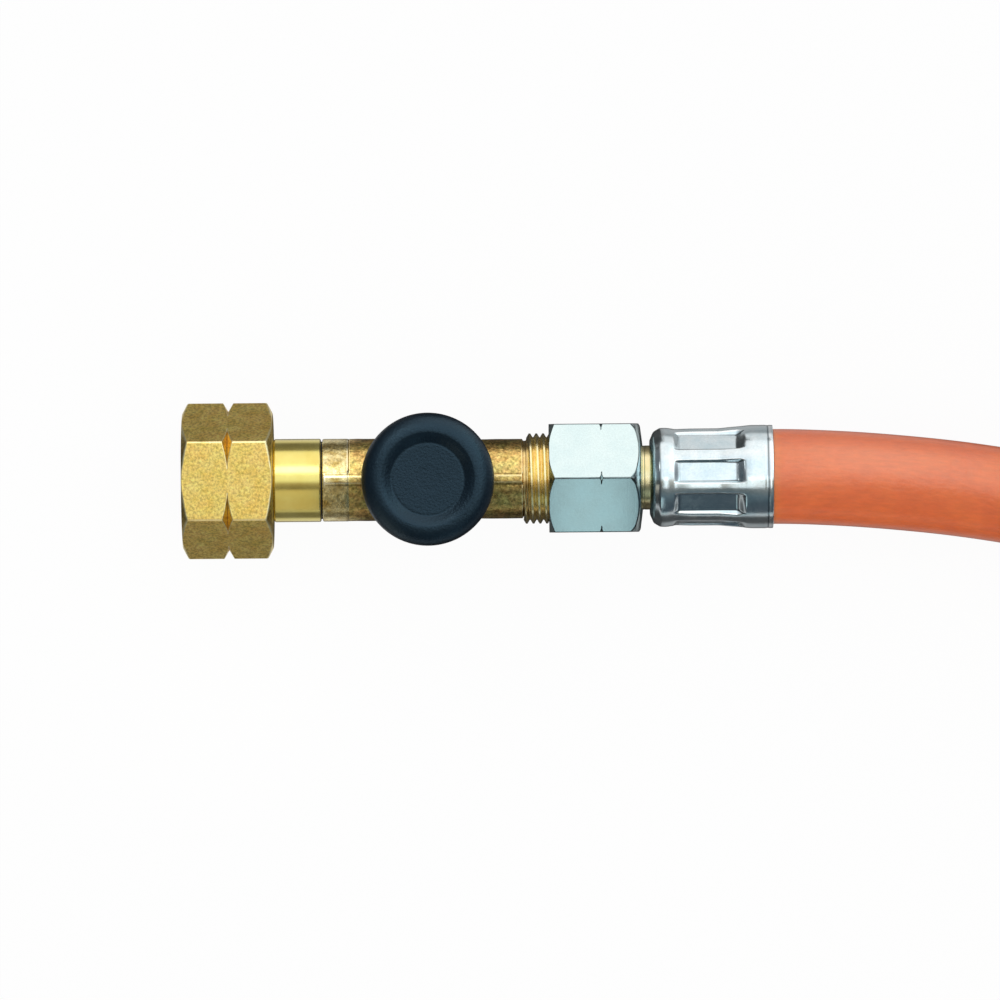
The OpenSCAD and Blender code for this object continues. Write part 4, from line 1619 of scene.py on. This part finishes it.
    def ferrule_skin(self, outer: Outline, length: float) -> tuple[np.ndarray, np.ndarray]:
        """Smooths the ferrule's outer line between its shoulder and its mouth.

        Args:
            outer: The outer line, from back to mouth.
            length: Length of the ferrule.

        Returns:
            Stations in rising order, close together at the crimp marks' ends, and the plain radii there.
        """
        xs, rs = np.array(outer).T
        first, last = self.crimp_start, self.crimp_start + self.crimp_len
        smooth_from, smooth_to = self.smooth_from, length - self.smooth_before_mouth
        stations = np.unique(np.concatenate([
            xs[(xs < smooth_from) | (xs > smooth_to)], first - self.ramp_in + np.linspace(0, self.ramp_in, 9),
            last + np.linspace(0, self.ramp_out, 11), np.arange(smooth_from, smooth_to, self.step),
        ]))
        stations = stations[np.concatenate([[True], np.diff(stations) > self.least_step])]
        plain = np.interp(stations, xs, rs)
        fine = np.linspace(smooth_from - 0.8, smooth_to + 0.8, self.fine_steps)
        weights = np.hanning(2 * self.blur + 3)[1:-1]
        padded = np.pad(np.interp(fine, xs, rs), self.blur, "edge")
        blurred = np.convolve(padded, weights / weights.sum(), "valid")
        inside = (stations > smooth_from) & (stations < smooth_to)
        plain[inside] = np.interp(stations[inside], fine, blurred)
        return stations, plain

    def ferrule_outline(self, length: float, flare_r: float) -> Callable[[float], Outline]:
        """Gives the function that draws the ferrule's section at an angle.

        Args:
            length: Length of the ferrule.
            flare_r: Radius of its mouth.

        Returns:
            A function from an angle to a closed outline, from the ferrule's back.
        """
        rear = -self.rear_bulge
        lip_r = flare_r - 0.58
        outer = rounded([
            (rear, self.neck_r + 0.25, 0.0), (rear, 8.3, 0.35), (0.1, 10.1, 1.3), (1.5, 10.93, 1.3),
            (2.9, 10.98, 1.4), (4.8, 10.70, 1.2), (length - 12.0, 10.72, 3.0),
            (length - 5.0, flare_r - 0.02, 3.0), (length - 1.8, flare_r, 1.0),
            (length - 1.05, flare_r - 0.10, 0.2), (length - 0.9, flare_r, 0.1),
            (length - 0.02, flare_r - 0.04, 0.45), (length, lip_r, 0.0),
        ], closed=False, steps=6)
        mouth = rounded([
            (length, lip_r, 0.0), (length - 0.2, flare_r - 0.66, 0.08), (length - 2.4, self.hose_r, 0.8),
            (length - self.mouth_len, self.squeezed_r, 0.3), (self.rear_wall, self.squeezed_r, 0.2),
            (self.rear_wall, self.neck_r, 0.2), (rear, self.neck_r, 0.1), (rear, self.neck_r + 0.25, 0.0),
        ], closed=False, steps=3)
        stations, plain = self.ferrule_skin(outer, length)
        first, last = self.crimp_start, self.crimp_start + self.crimp_len
        ends = np.maximum((first - stations) / self.ramp_in, (stations - last) / self.ramp_out)
        ends = np.maximum(ends, 0.0)
        swell = smooth_step(first - 1.5, first + 3, stations) * smooth_step(last + 4, last - 2, stations)
        front = int(np.searchsorted(stations, rear + 1e-6, side="right"))
        half_pitch = self.half_pitch
        even, real = self.crimp_places()

        def section(angle: float) -> Outline:
            """Draws the section at one angle.

            Args:
                angle: Angle round the axis.

            Returns:
                The closed outline there.
            """
            place = np.interp(angle, real, even) - self.crimp_turn
            turn = (place + half_pitch) % (2 * half_pitch) - half_pitch
            side = max(0.0, abs(turn) - self.crimp_half) / self.crimp_edge
            reach = max(-self.crimp_half, min(self.crimp_half, turn))
            floor = self.crimp_floor_r / math.cos(reach)
            bulge = self.bulge * math.sin(min(1.0, abs(turn) / half_pitch) * math.pi / 2) ** 4
            wall = []
            for row in range(front, len(stations)):
                full = plain[row] + bulge * float(swell[row])
                away = math.hypot(side, float(ends[row]))
                depth = float(smooth_step(1.0, 0.0, away))
                sunk = min(full, floor + self.floor_lift * min(1.0, away))
                wall.append((float(stations[row]), float(full + (sunk - full) * depth)))
            return outer[:2] + wall + mouth[1:-1]

        return section

    def build_ferrule(self, wardrobe: Wardrobe, mouth: Vector) -> None:
        """Makes the ferrule and the hose's crimped end, and dresses them.

        Args:
            wardrobe: The finishes.
            mouth: The ferrule's mouth.
        """
        start, end = span(self.names.ferrule, 0)
        flare_r = span(self.names.ferrule, 2)[1] - mouth.z
        section = self.ferrule_outline(end - start, flare_r)
        columns = self.ferrule_columns()
        ferrule = shell(f"{self.names.ferrule}_crimped", columns, section, on_axis(mouth, start))
        wardrobe.dress(ferrule, Finish.BRIGHT_ZINC, self.names.hose_body, "ferrule_steel", self.names.ferrule)
        tail_start, tail_end = span(self.names.tail, 0)
        outer = self.squeezed_r - self.squeezed_gap
        tail = rounded([
            (tail_start, self.hose_bore_r, 0.0), (tail_start, outer, 0.2),
            (tail_end - self.mouth_len, outer, 0.3), (tail_end - 2.0, self.hose_r, 0.5),
            (tail_end, self.hose_r, 0.0), (tail_end, self.hose_bore_r, 0.0),
        ])
        squeezed = shell(f"{self.names.tail}_rubber", even_angles(96), lambda _: tail, on_axis(mouth))
        squeezed.data.uv_layers.new(name="hose")
        wardrobe.dress(squeezed, Finish.HOSE_RUBBER, self.names.hose_body, "hose_rubber", self.names.tail)

    def build(self, wardrobe: Wardrobe, mouth: Vector) -> None:
        """Makes the whole fitting.

        Args:
            wardrobe: The finishes.
            mouth: Centre of the ferrule's mouth, in millimetres.
        """
        self.build_nut(wardrobe, mouth)
        self.build_nipple(wardrobe, mouth)
        self.build_ferrule(wardrobe, mouth)


# ---- Hose ----


@dataclass
class Hose:
    """The orange hose's free stretch, from one ferrule's mouth to the other's."""

    radius: float = 10.5
    sides: int = 64
    steps: int = 7
    route: tuple[Triple, ...] = (
        (0, 0, 0), (14, -0.5, -0.2), (28, -1.6, -1), (42, -3.2, -2.2), (56, -5.5, -3.4),
        (72, -9.2, -4.3), (88, -15, -4.5), (105, -24.8, -4.5), (120, -38.5, -4.5), (131, -54, -4.5),
        (139, -72, -4.5), (143, -92, -4.5), (143, -112, -4.5), (139, -131, -4.5), (131, -149.5, -4.5),
        (119, -166, -4.5), (104, -180, -4.5), (87, -190, -4.5), (68, -196.5, -4.5), (48, -199.5, -4.2),
        (30, -200, -3.5), (14, -200, -3), (0, -200, -3),
    )

    def heading(self, index: int) -> Vector:
        """Finds the direction of the route at one of its points.

        Args:
            index: Number of the point.

        Returns:
            The direction, of length 1.
        """
        last = len(self.route) - 1
        if index == 0:
            return Vector((1, 0, 0))
        if index == last:
            return Vector((-1, 0, 0))
        here = Vector(self.route[index])
        ahead = (Vector(self.route[index + 1]) - here).normalized()
        behind = (here - Vector(self.route[index - 1])).normalized()
        return (ahead + behind).normalized()

    def centreline(self, mouth: Vector) -> list[Vector]:
        """Draws the smooth line through the route's points.

        Args:
            mouth: Where the hose leaves the first ferrule, in millimetres.

        Returns:
            Points along the line, in metres.
        """
        points = [mouth * MM]
        for index in range(len(self.route) - 1):
            first, last = Vector(self.route[index]), Vector(self.route[index + 1])
            reach = (last - first).length
            leave, arrive = self.heading(index) * reach, self.heading(index + 1) * reach
            for step in range(1, self.steps + 1):
                t = step / self.steps
                point = (
                    first * (2 * t**3 - 3 * t**2 + 1) + leave * (t**3 - 2 * t**2 + t)
                    + last * (3 * t**2 - 2 * t**3) + arrive * (t**3 - t**2)
                )
                points.append((mouth + point) * MM)
        return points

    def build(self, wardrobe: Wardrobe, mouth: Vector) -> tuple[bpy.types.Object, list[Vector]]:
        """Makes the hose's tube and dresses it.

        Args:
            wardrobe: The finishes.
            mouth: Where it leaves the first ferrule, in millimetres.

        Returns:
            The hose and the points of its centreline, in metres.
        """
        line = self.centreline(mouth)
        verts: list[Vector] = []
        for index, point in enumerate(line):
            back, ahead = line[max(index - 1, 0)], line[min(index + 1, len(line) - 1)]
            along = (ahead - back).normalized()
            side = along.cross(Vector((0, 0, 1))).normalized()
            up = side.cross(along)
            for k in range(self.sides):
                turn = 2 * math.pi * k / self.sides
                verts.append(point + (up * math.cos(turn) + side * math.sin(turn)) * self.radius * MM)
        faces: list[list[int]] = [list(range(self.sides))]
        for ring in range(len(line) - 1):
            for k in range(self.sides):
                a, b = ring * self.sides + k, ring * self.sides + (k + 1) % self.sides
                faces.append([a, b, b + self.sides, a + self.sides])
        faces.append([(len(line) - 1) * self.sides + k for k in range(self.sides)])
        hose = solid("orange_hose", verts, faces)
        self.unwrap(hose, line)
        wardrobe.dress(hose, Finish.HOSE_RUBBER, "hose_end", "hose_rubber", "hose")
        hose.visible_glossy = False
        return hose, line

    def unwrap(self, hose: bpy.types.Object, line: list[Vector]) -> None:
        """Gives the tube a UV map in metres: once round across, and along the hose.

        Args:
            hose: The tube.
            line: Points of its centreline.
        """
        lengths = [0.0]
        for first, last in zip(line, line[1:]):
            lengths.append(lengths[-1] + (last - first).length)
        layer = hose.data.uv_layers.new(name="hose")
        for face in hose.data.polygons:
            turns = [hose.data.loops[loop].vertex_index % self.sides for loop in face.loop_indices]
            wraps = max(turns) - min(turns) > self.sides / 2
            for loop, turn in zip(face.loop_indices, turns):
                ring = hose.data.loops[loop].vertex_index // self.sides
                share = turn / self.sides + (1.0 if wraps and turn < self.sides / 2 else 0.0)
                layer.data[loop].uv = (share, lengths[ring])


# ---- Inner pieces that keep their solids ----


@dataclass(frozen=True)
class Spring:
    """A spring that a joint squeezes along one axis."""

    node: str
    joint: str
    axis: int
    fixed_end: float
    travel: float

    def squash(self, piece: bpy.types.Object) -> None:
        """Gives the spring's solid a mesh of its own.

        Args:
            piece: The solid as loaded.
        """
        low, high = span(self.node, self.axis)
        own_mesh(piece)


SPRINGS = (
    Spring("button_spring", "button_press", 2, 11.0, 4.0),
    Spring("piston_spring", "piston_close", 0, 69.2, 2.5),
)

KEPT_NODES: dict[str, Finish] = {
    "piston_retainer": Finish.STAINLESS,
    "valve_piston": Finish.TURNED_BRASS,
    "piston_seal": Finish.SEAL_RUBBER,
    "piston_spring": Finish.STAINLESS,
    "valve_seat": Finish.TURNED_BRASS,
    "button_bush": Finish.TURNED_BRASS,
    "bush_gasket": Finish.SEAL_RUBBER,
    "stem_seal": Finish.SEAL_RUBBER,
    "button_stem": Finish.STAINLESS,
    "stem_clip": Finish.STAINLESS,
    "button_spring": Finish.STAINLESS,
    "button_plate": Finish.ZINC,
}


# ---- Studio ----


@dataclass(frozen=True)
class Card:
    """A small lamp over one fitting, which faces the fittings' axis.

    It reaches from left to right along the fittings, in metres, and from one angle to the other round them,
    in degrees from straight up towards the -Y side.
    """

    name: str
    left: float
    right: float
    near: float
    far: float
    distance: float
    radiance: float
    colour: Colour
    lights_diffuse: bool = True


CARDS = (
    Card("warm_card", -0.01, 0.031, 24, 84, 0.065, 0.58, (1.0, 0.86, 0.66)),
    Card("strip_card", 0.0, 0.036, -38, -20, 0.10, 2.1, (1.0, 0.98, 0.95)),
    Card("cool_card", 0.079, 0.1025, 47, 72, 0.11, 0.68, (0.76, 0.97, 0.99)),
    Card("ferrule_card", 0.1045, 0.1335, 0, 24, 0.13, 1.15, (0.92, 0.98, 1.0)),
    Card("hose_card", 0.145, 0.21, -78, -14, 0.15, 0.85, (0.62, 1.0, 0.98), lights_diffuse=False),
)


@dataclass(frozen=True)
class Studio:
    """Camera straight above, a softbox sky, a key lamp with small cards, and a pale floor.

    The view is measured in millimetres, the key lamp and the floor in metres.
    """

    view_centre: tuple[float, float] = (70.2, -4.7)
    view_width: float = 221.5
    lens: float = 350.0
    sensor: float = 36.0
    roll: float = math.radians(-0.49)
    sky_strength: float = 1.5
    plain_light: float = 0.95
    sky_in_mirrors: float = 0.04
    key_offset: Triple = (0.25, 0.55, 0.75)
    key_size: tuple[float, float] = (0.9, 0.5)
    key_radiance: float = 0.10
    key_colour: Colour = (1.0, 0.99, 0.96)
    floor_half: float = 4.0
    floor_white: float = 0.95
    floor_tone: float = 0.80
    floor_mirrored: float = 0.06

    def camera(self) -> None:
        """Makes the scene's camera."""
        data = bpy.data.cameras.new("camera")
        data.lens = self.lens
        data.sensor_width = self.sensor
        height = self.view_width * self.lens / self.sensor * MM
        data.clip_start, data.clip_end = height * 0.1, height * 10
        camera = linked("camera", data)
        camera.location = (self.view_centre[0] * MM, self.view_centre[1] * MM, height)
        camera.rotation_euler = (0.0, 0.0, self.roll)
        bpy.context.scene.camera = camera

    def sky(self) -> None:
        """Makes the world: a broad softbox on the +Y side, a cooler fill on the other."""
        world = bpy.data.worlds.new("softbox_sky")
        bpy.context.scene.world = world
        world.use_nodes = True
        graph = Graph(world.node_tree)
        direction = graph.node("ShaderNodeTexCoord").outputs["Generated"]
        split = graph.node("ShaderNodeSeparateXYZ", {0: direction}).outputs
        turn = graph.math("ARCTAN2", split[1], split[2])
        share = graph.remap(turn, -math.pi, math.pi)
        stops = [
            (-180, (0.20, 0.21, 0.22)), (-94, (0.014, 0.026, 0.038)), (-62, (0.022, 0.038, 0.050)),
            (-45, (0.06, 0.090, 0.105)), (-22, (0.12, 0.115, 0.10)), (-8, (0.30, 0.26, 0.20)),
            (-2, (0.80, 0.84, 0.86)), (30, (0.84, 0.88, 0.92)), (56, (0.92, 0.88, 0.86)),
            (84, (0.86, 0.84, 0.83)), (94, (0.80, 0.80, 0.80)), (180, (0.20, 0.21, 0.22)),
        ]
        across = graph.ramp(share, [((angle + 180) / 360, colour) for angle, colour in stops])
        ends = graph.ramp(graph.remap(split[0], -1.0, 1.0), [
            (0.0, (0.06, 0.07, 0.08)), (0.18, (0.12, 0.13, 0.14)), (0.36, (0.62, 0.62, 0.62)),
            (0.46, (1.0, 1.0, 1.0)), (0.86, (1.0, 1.0, 1.0)), (0.92, (0.42, 0.43, 0.44)),
            (1.0, (0.12, 0.13, 0.14)),
        ])
        light = graph.scaled(graph.multiplied(across, ends), self.sky_strength)
        diffuse = graph.node("ShaderNodeLightPath").outputs["Is Diffuse Ray"]
        tone = graph.mix(diffuse, light, (*[self.plain_light] * 3, 1.0))
        lit = graph.node("ShaderNodeBackground", {0: tone, 1: 1.0})
        white = graph.node("ShaderNodeBackground", {0: (1.0, 1.0, 1.0, 1.0), 1: 1.0})
        share_white = self.background_share(graph, 1.0, self.sky_in_mirrors)
        both = graph.node("ShaderNodeMixShader", {0: share_white, 1: lit.outputs[0], 2: white.outputs[0]})
        graph.node("ShaderNodeOutputWorld", {0: both.outputs[0]})

    def background_share(self, graph: Graph, camera: float, mirror: object) -> bpy.types.NodeSocket:
        """Gives the share of plain white that rays see.

        Args:
            graph: The tree it is for.
            camera: Share for the camera's own rays.
            mirror: Share for rays that a surface reflects or lets through, as a value or a socket.

        Returns:
            The share as a socket.
        """
        path = graph.node("ShaderNodeLightPath").outputs
        seen = graph.math("MULTIPLY", path["Is Camera Ray"], camera)
        mirrored = graph.math("ADD", path["Is Glossy Ray"], path["Is Transmission Ray"])
        return graph.math("MINIMUM", graph.math("MULTIPLY_ADD", mirrored, mirror, seen), 1.0)

    def greys(
        self, graph: Graph, place: bpy.types.NodeSocket, levels: Sequence[tuple[float, float]]
    ) -> bpy.types.NodeSocket:
        """Gives brightness by place.

        Args:
            graph: The tree it is for.
            place: A coordinate, in metres.
            levels: Pairs of a place and its brightness, in rising order.

        Returns:
            The brightness as a socket.
        """
        low, high = levels[0][0], levels[-1][0]
        stops = [((spot - low) / (high - low), (grey, grey, grey)) for spot, grey in levels]
        return graph.ramp(graph.remap(place, low, high), stops)

    def mirrored_floor(self, graph: Graph, place: bpy.types.NodeSocket) -> bpy.types.NodeSocket:
        """Gives the share of white that metal sees in the floor, in bands along the fittings.

        Args:
            graph: The floor's tree.
            place: Coordinates of the floor, in metres.

        Returns:
            The share as a socket.
        """
        split = graph.node("ShaderNodeSeparateXYZ", {0: place}).outputs
        brass = self.greys(graph, split[1], (
            (-0.1, 0.06), (-0.06, 0.16), (-0.036, 0.12), (-0.027, 0.75), (-0.018, 0.75), (-0.014, 0.04),
            (0.014, 0.04), (0.018, 0.75), (0.027, 0.75), (0.036, 0.15), (0.07, 0.15), (0.1, 0.2),
        ))
        steel = self.greys(graph, split[1], (
            (-0.1, 0.02), (-0.036, 0.03), (-0.029, 0.30), (-0.019, 0.30), (-0.015, 0.02),
            (0.015, 0.03), (0.019, 0.45), (0.03, 0.45), (0.05, 0.30), (0.065, 0.85), (0.1, 0.9),
        ))
        flags = self.greys(graph, split[0], (
            (-0.03, 0.04), (-0.026, 0.04), (-0.012, 1.0), (0.034, 1.0),
            (0.040, 0.04), (0.103, 0.04), (0.107, 1.0), (0.12, 1.0),
        ))
        bands = graph.node("ShaderNodeMix", {0: graph.remap(split[0], 0.085, 0.095), 2: brass, 3: steel})
        level = graph.math("MULTIPLY", bands.outputs[0], flags)
        return graph.math("MAXIMUM", level, graph.remap(split[1], -0.14, -0.12, 0.6, 0.0))

    def floor(self, height: float) -> None:
        """Makes the pale floor, which metal shows white close to the fittings and darker further off.

        Args:
            height: Height of the floor, in metres.
        """
        half = self.floor_half
        corners = [(-half, -half, height), (half, -half, height), (half, half, height), (-half, half, height)]
        mesh = bpy.data.meshes.new("floor")
        mesh.from_pydata(corners, [], [(0, 1, 2, 3)])
        floor = linked("floor", mesh)
        material, graph, place = new_material("pale_floor")
        level = self.mirrored_floor(graph, place)
        path = graph.node("ShaderNodeLightPath").outputs
        mirrored = graph.math("MAXIMUM", path["Is Glossy Ray"], path["Is Transmission Ray"])
        tone = graph.mix(mirrored, (*[self.floor_tone] * 3, 1.0), (*[self.floor_mirrored] * 3, 1.0))
        matt = graph.node("ShaderNodeBsdfDiffuse", {"Color": tone})
        glow = graph.node("ShaderNodeEmission", {"Color": (1.0, 1.0, 1.0, 1.0), "Strength": 1.0})
        share = self.background_share(graph, self.floor_white, level)
        both = graph.node("ShaderNodeMixShader", {0: share, 1: matt.outputs[0], 2: glow.outputs[0]})
        graph.node("ShaderNodeOutputMaterial", {0: both.outputs[0]})
        mesh.materials.append(material)
        floor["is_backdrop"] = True

    def lamp(
        self,
        name: str,
        place: Vector,
        aim: Vector,
        size: tuple[float, float],
        radiance: float,
        colour: Colour,
    ) -> bpy.types.Object:
        """Makes a soft lamp.

        Args:
            name: Its name.
            place: Its centre, in metres.
            aim: Point that it faces, in metres.
            size: Its width and its height, in metres.
            radiance: Brightness of its face, where 1 is the background's white.
            colour: Its colour.

        Returns:
            The lamp.
        """
        data = bpy.data.lights.new(name, "AREA")
        data.shape = "RECTANGLE"
        data.size, data.size_y = size
        data.energy = radiance * math.pi * size[0] * size[1]
        data.color = colour
        lamp = linked(name, data)
        lamp.location = place
        lamp.rotation_mode = "QUATERNION"
        lamp.rotation_quaternion = (aim - place).to_track_quat("-Z", "Y")
        lamp.visible_camera = False
        return lamp

    def lamps(self) -> None:
        """Makes the key lamp on the +Y side, and the small cards that light single fittings."""
        middle = Vector((self.view_centre[0] * MM, self.view_centre[1] * MM, 0.0))
        above = middle + Vector(self.key_offset)
        key = self.lamp("key_softbox", above, middle, self.key_size, self.key_radiance, self.key_colour)
        key.visible_glossy = False
        for card in CARDS:
            ends = [math.radians(card.far), math.radians(card.near)]
            low, high = (Vector((0.0, -math.sin(end), math.cos(end))) * card.distance for end in ends)
            foot = Vector(((card.left + card.right) / 2, 0.0, 0.0))
            size = (card.right - card.left, (high - low).length)
            lamp = self.lamp(card.name, foot + (low + high) / 2, foot, size, card.radiance, card.colour)
            lamp.visible_diffuse = card.lights_diffuse


def main() -> None:
    """Builds and dresses the whole gas hose."""
    logging.basicConfig(level=logging.INFO, format="%(name)s: %(message)s")
    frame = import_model()
    bpy.context.scene.view_settings.view_transform = "Standard"
    studio = Studio()
    studio.camera()

    wardrobe = Wardrobe()
    near_end = span("ferrule", 0)[1]
    far_end = span("regulator_ferrule", 0)[1]
    route = Hose()
    mouth = Vector((near_end, 0.0, 0.0))
    far_mouth = Vector((far_end, 0.0, 0.0)) + Vector((0.0, *route.route[-1][1:]))
    hose, line = route.build(wardrobe, mouth)

    CylinderNut().build(wardrobe)
    CylinderNipple().build(wardrobe)
    Neck().build(wardrobe)
    ValveBody().build(wardrobe)
    ButtonCap().build(wardrobe)
    near = FittingNames("union_nut", "hose_nipple", "nipple_o_ring", "ferrule", "hose_tail", "union_nut")
    far = FittingNames(
        "regulator_nut", "regulator_nipple", "regulator_o_ring", "regulator_ferrule", "regulator_hose_tail",
        "regulator_nut",
    )
    HoseFitting(near, corner_up=True).build(wardrobe, mouth)
    HoseFitting(far, corner_up=False).build(wardrobe, far_mouth)
    for node, finish in KEPT_NODES.items():
        wardrobe.repaint(frame["nodes"][node], finish)
    for spring in SPRINGS:
        spring.squash(frame["nodes"][spring.node])

    low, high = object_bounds()
    studio.sky()
    studio.floor(low.z)
    studio.lamps()


if __name__ == "__main__":
    main()
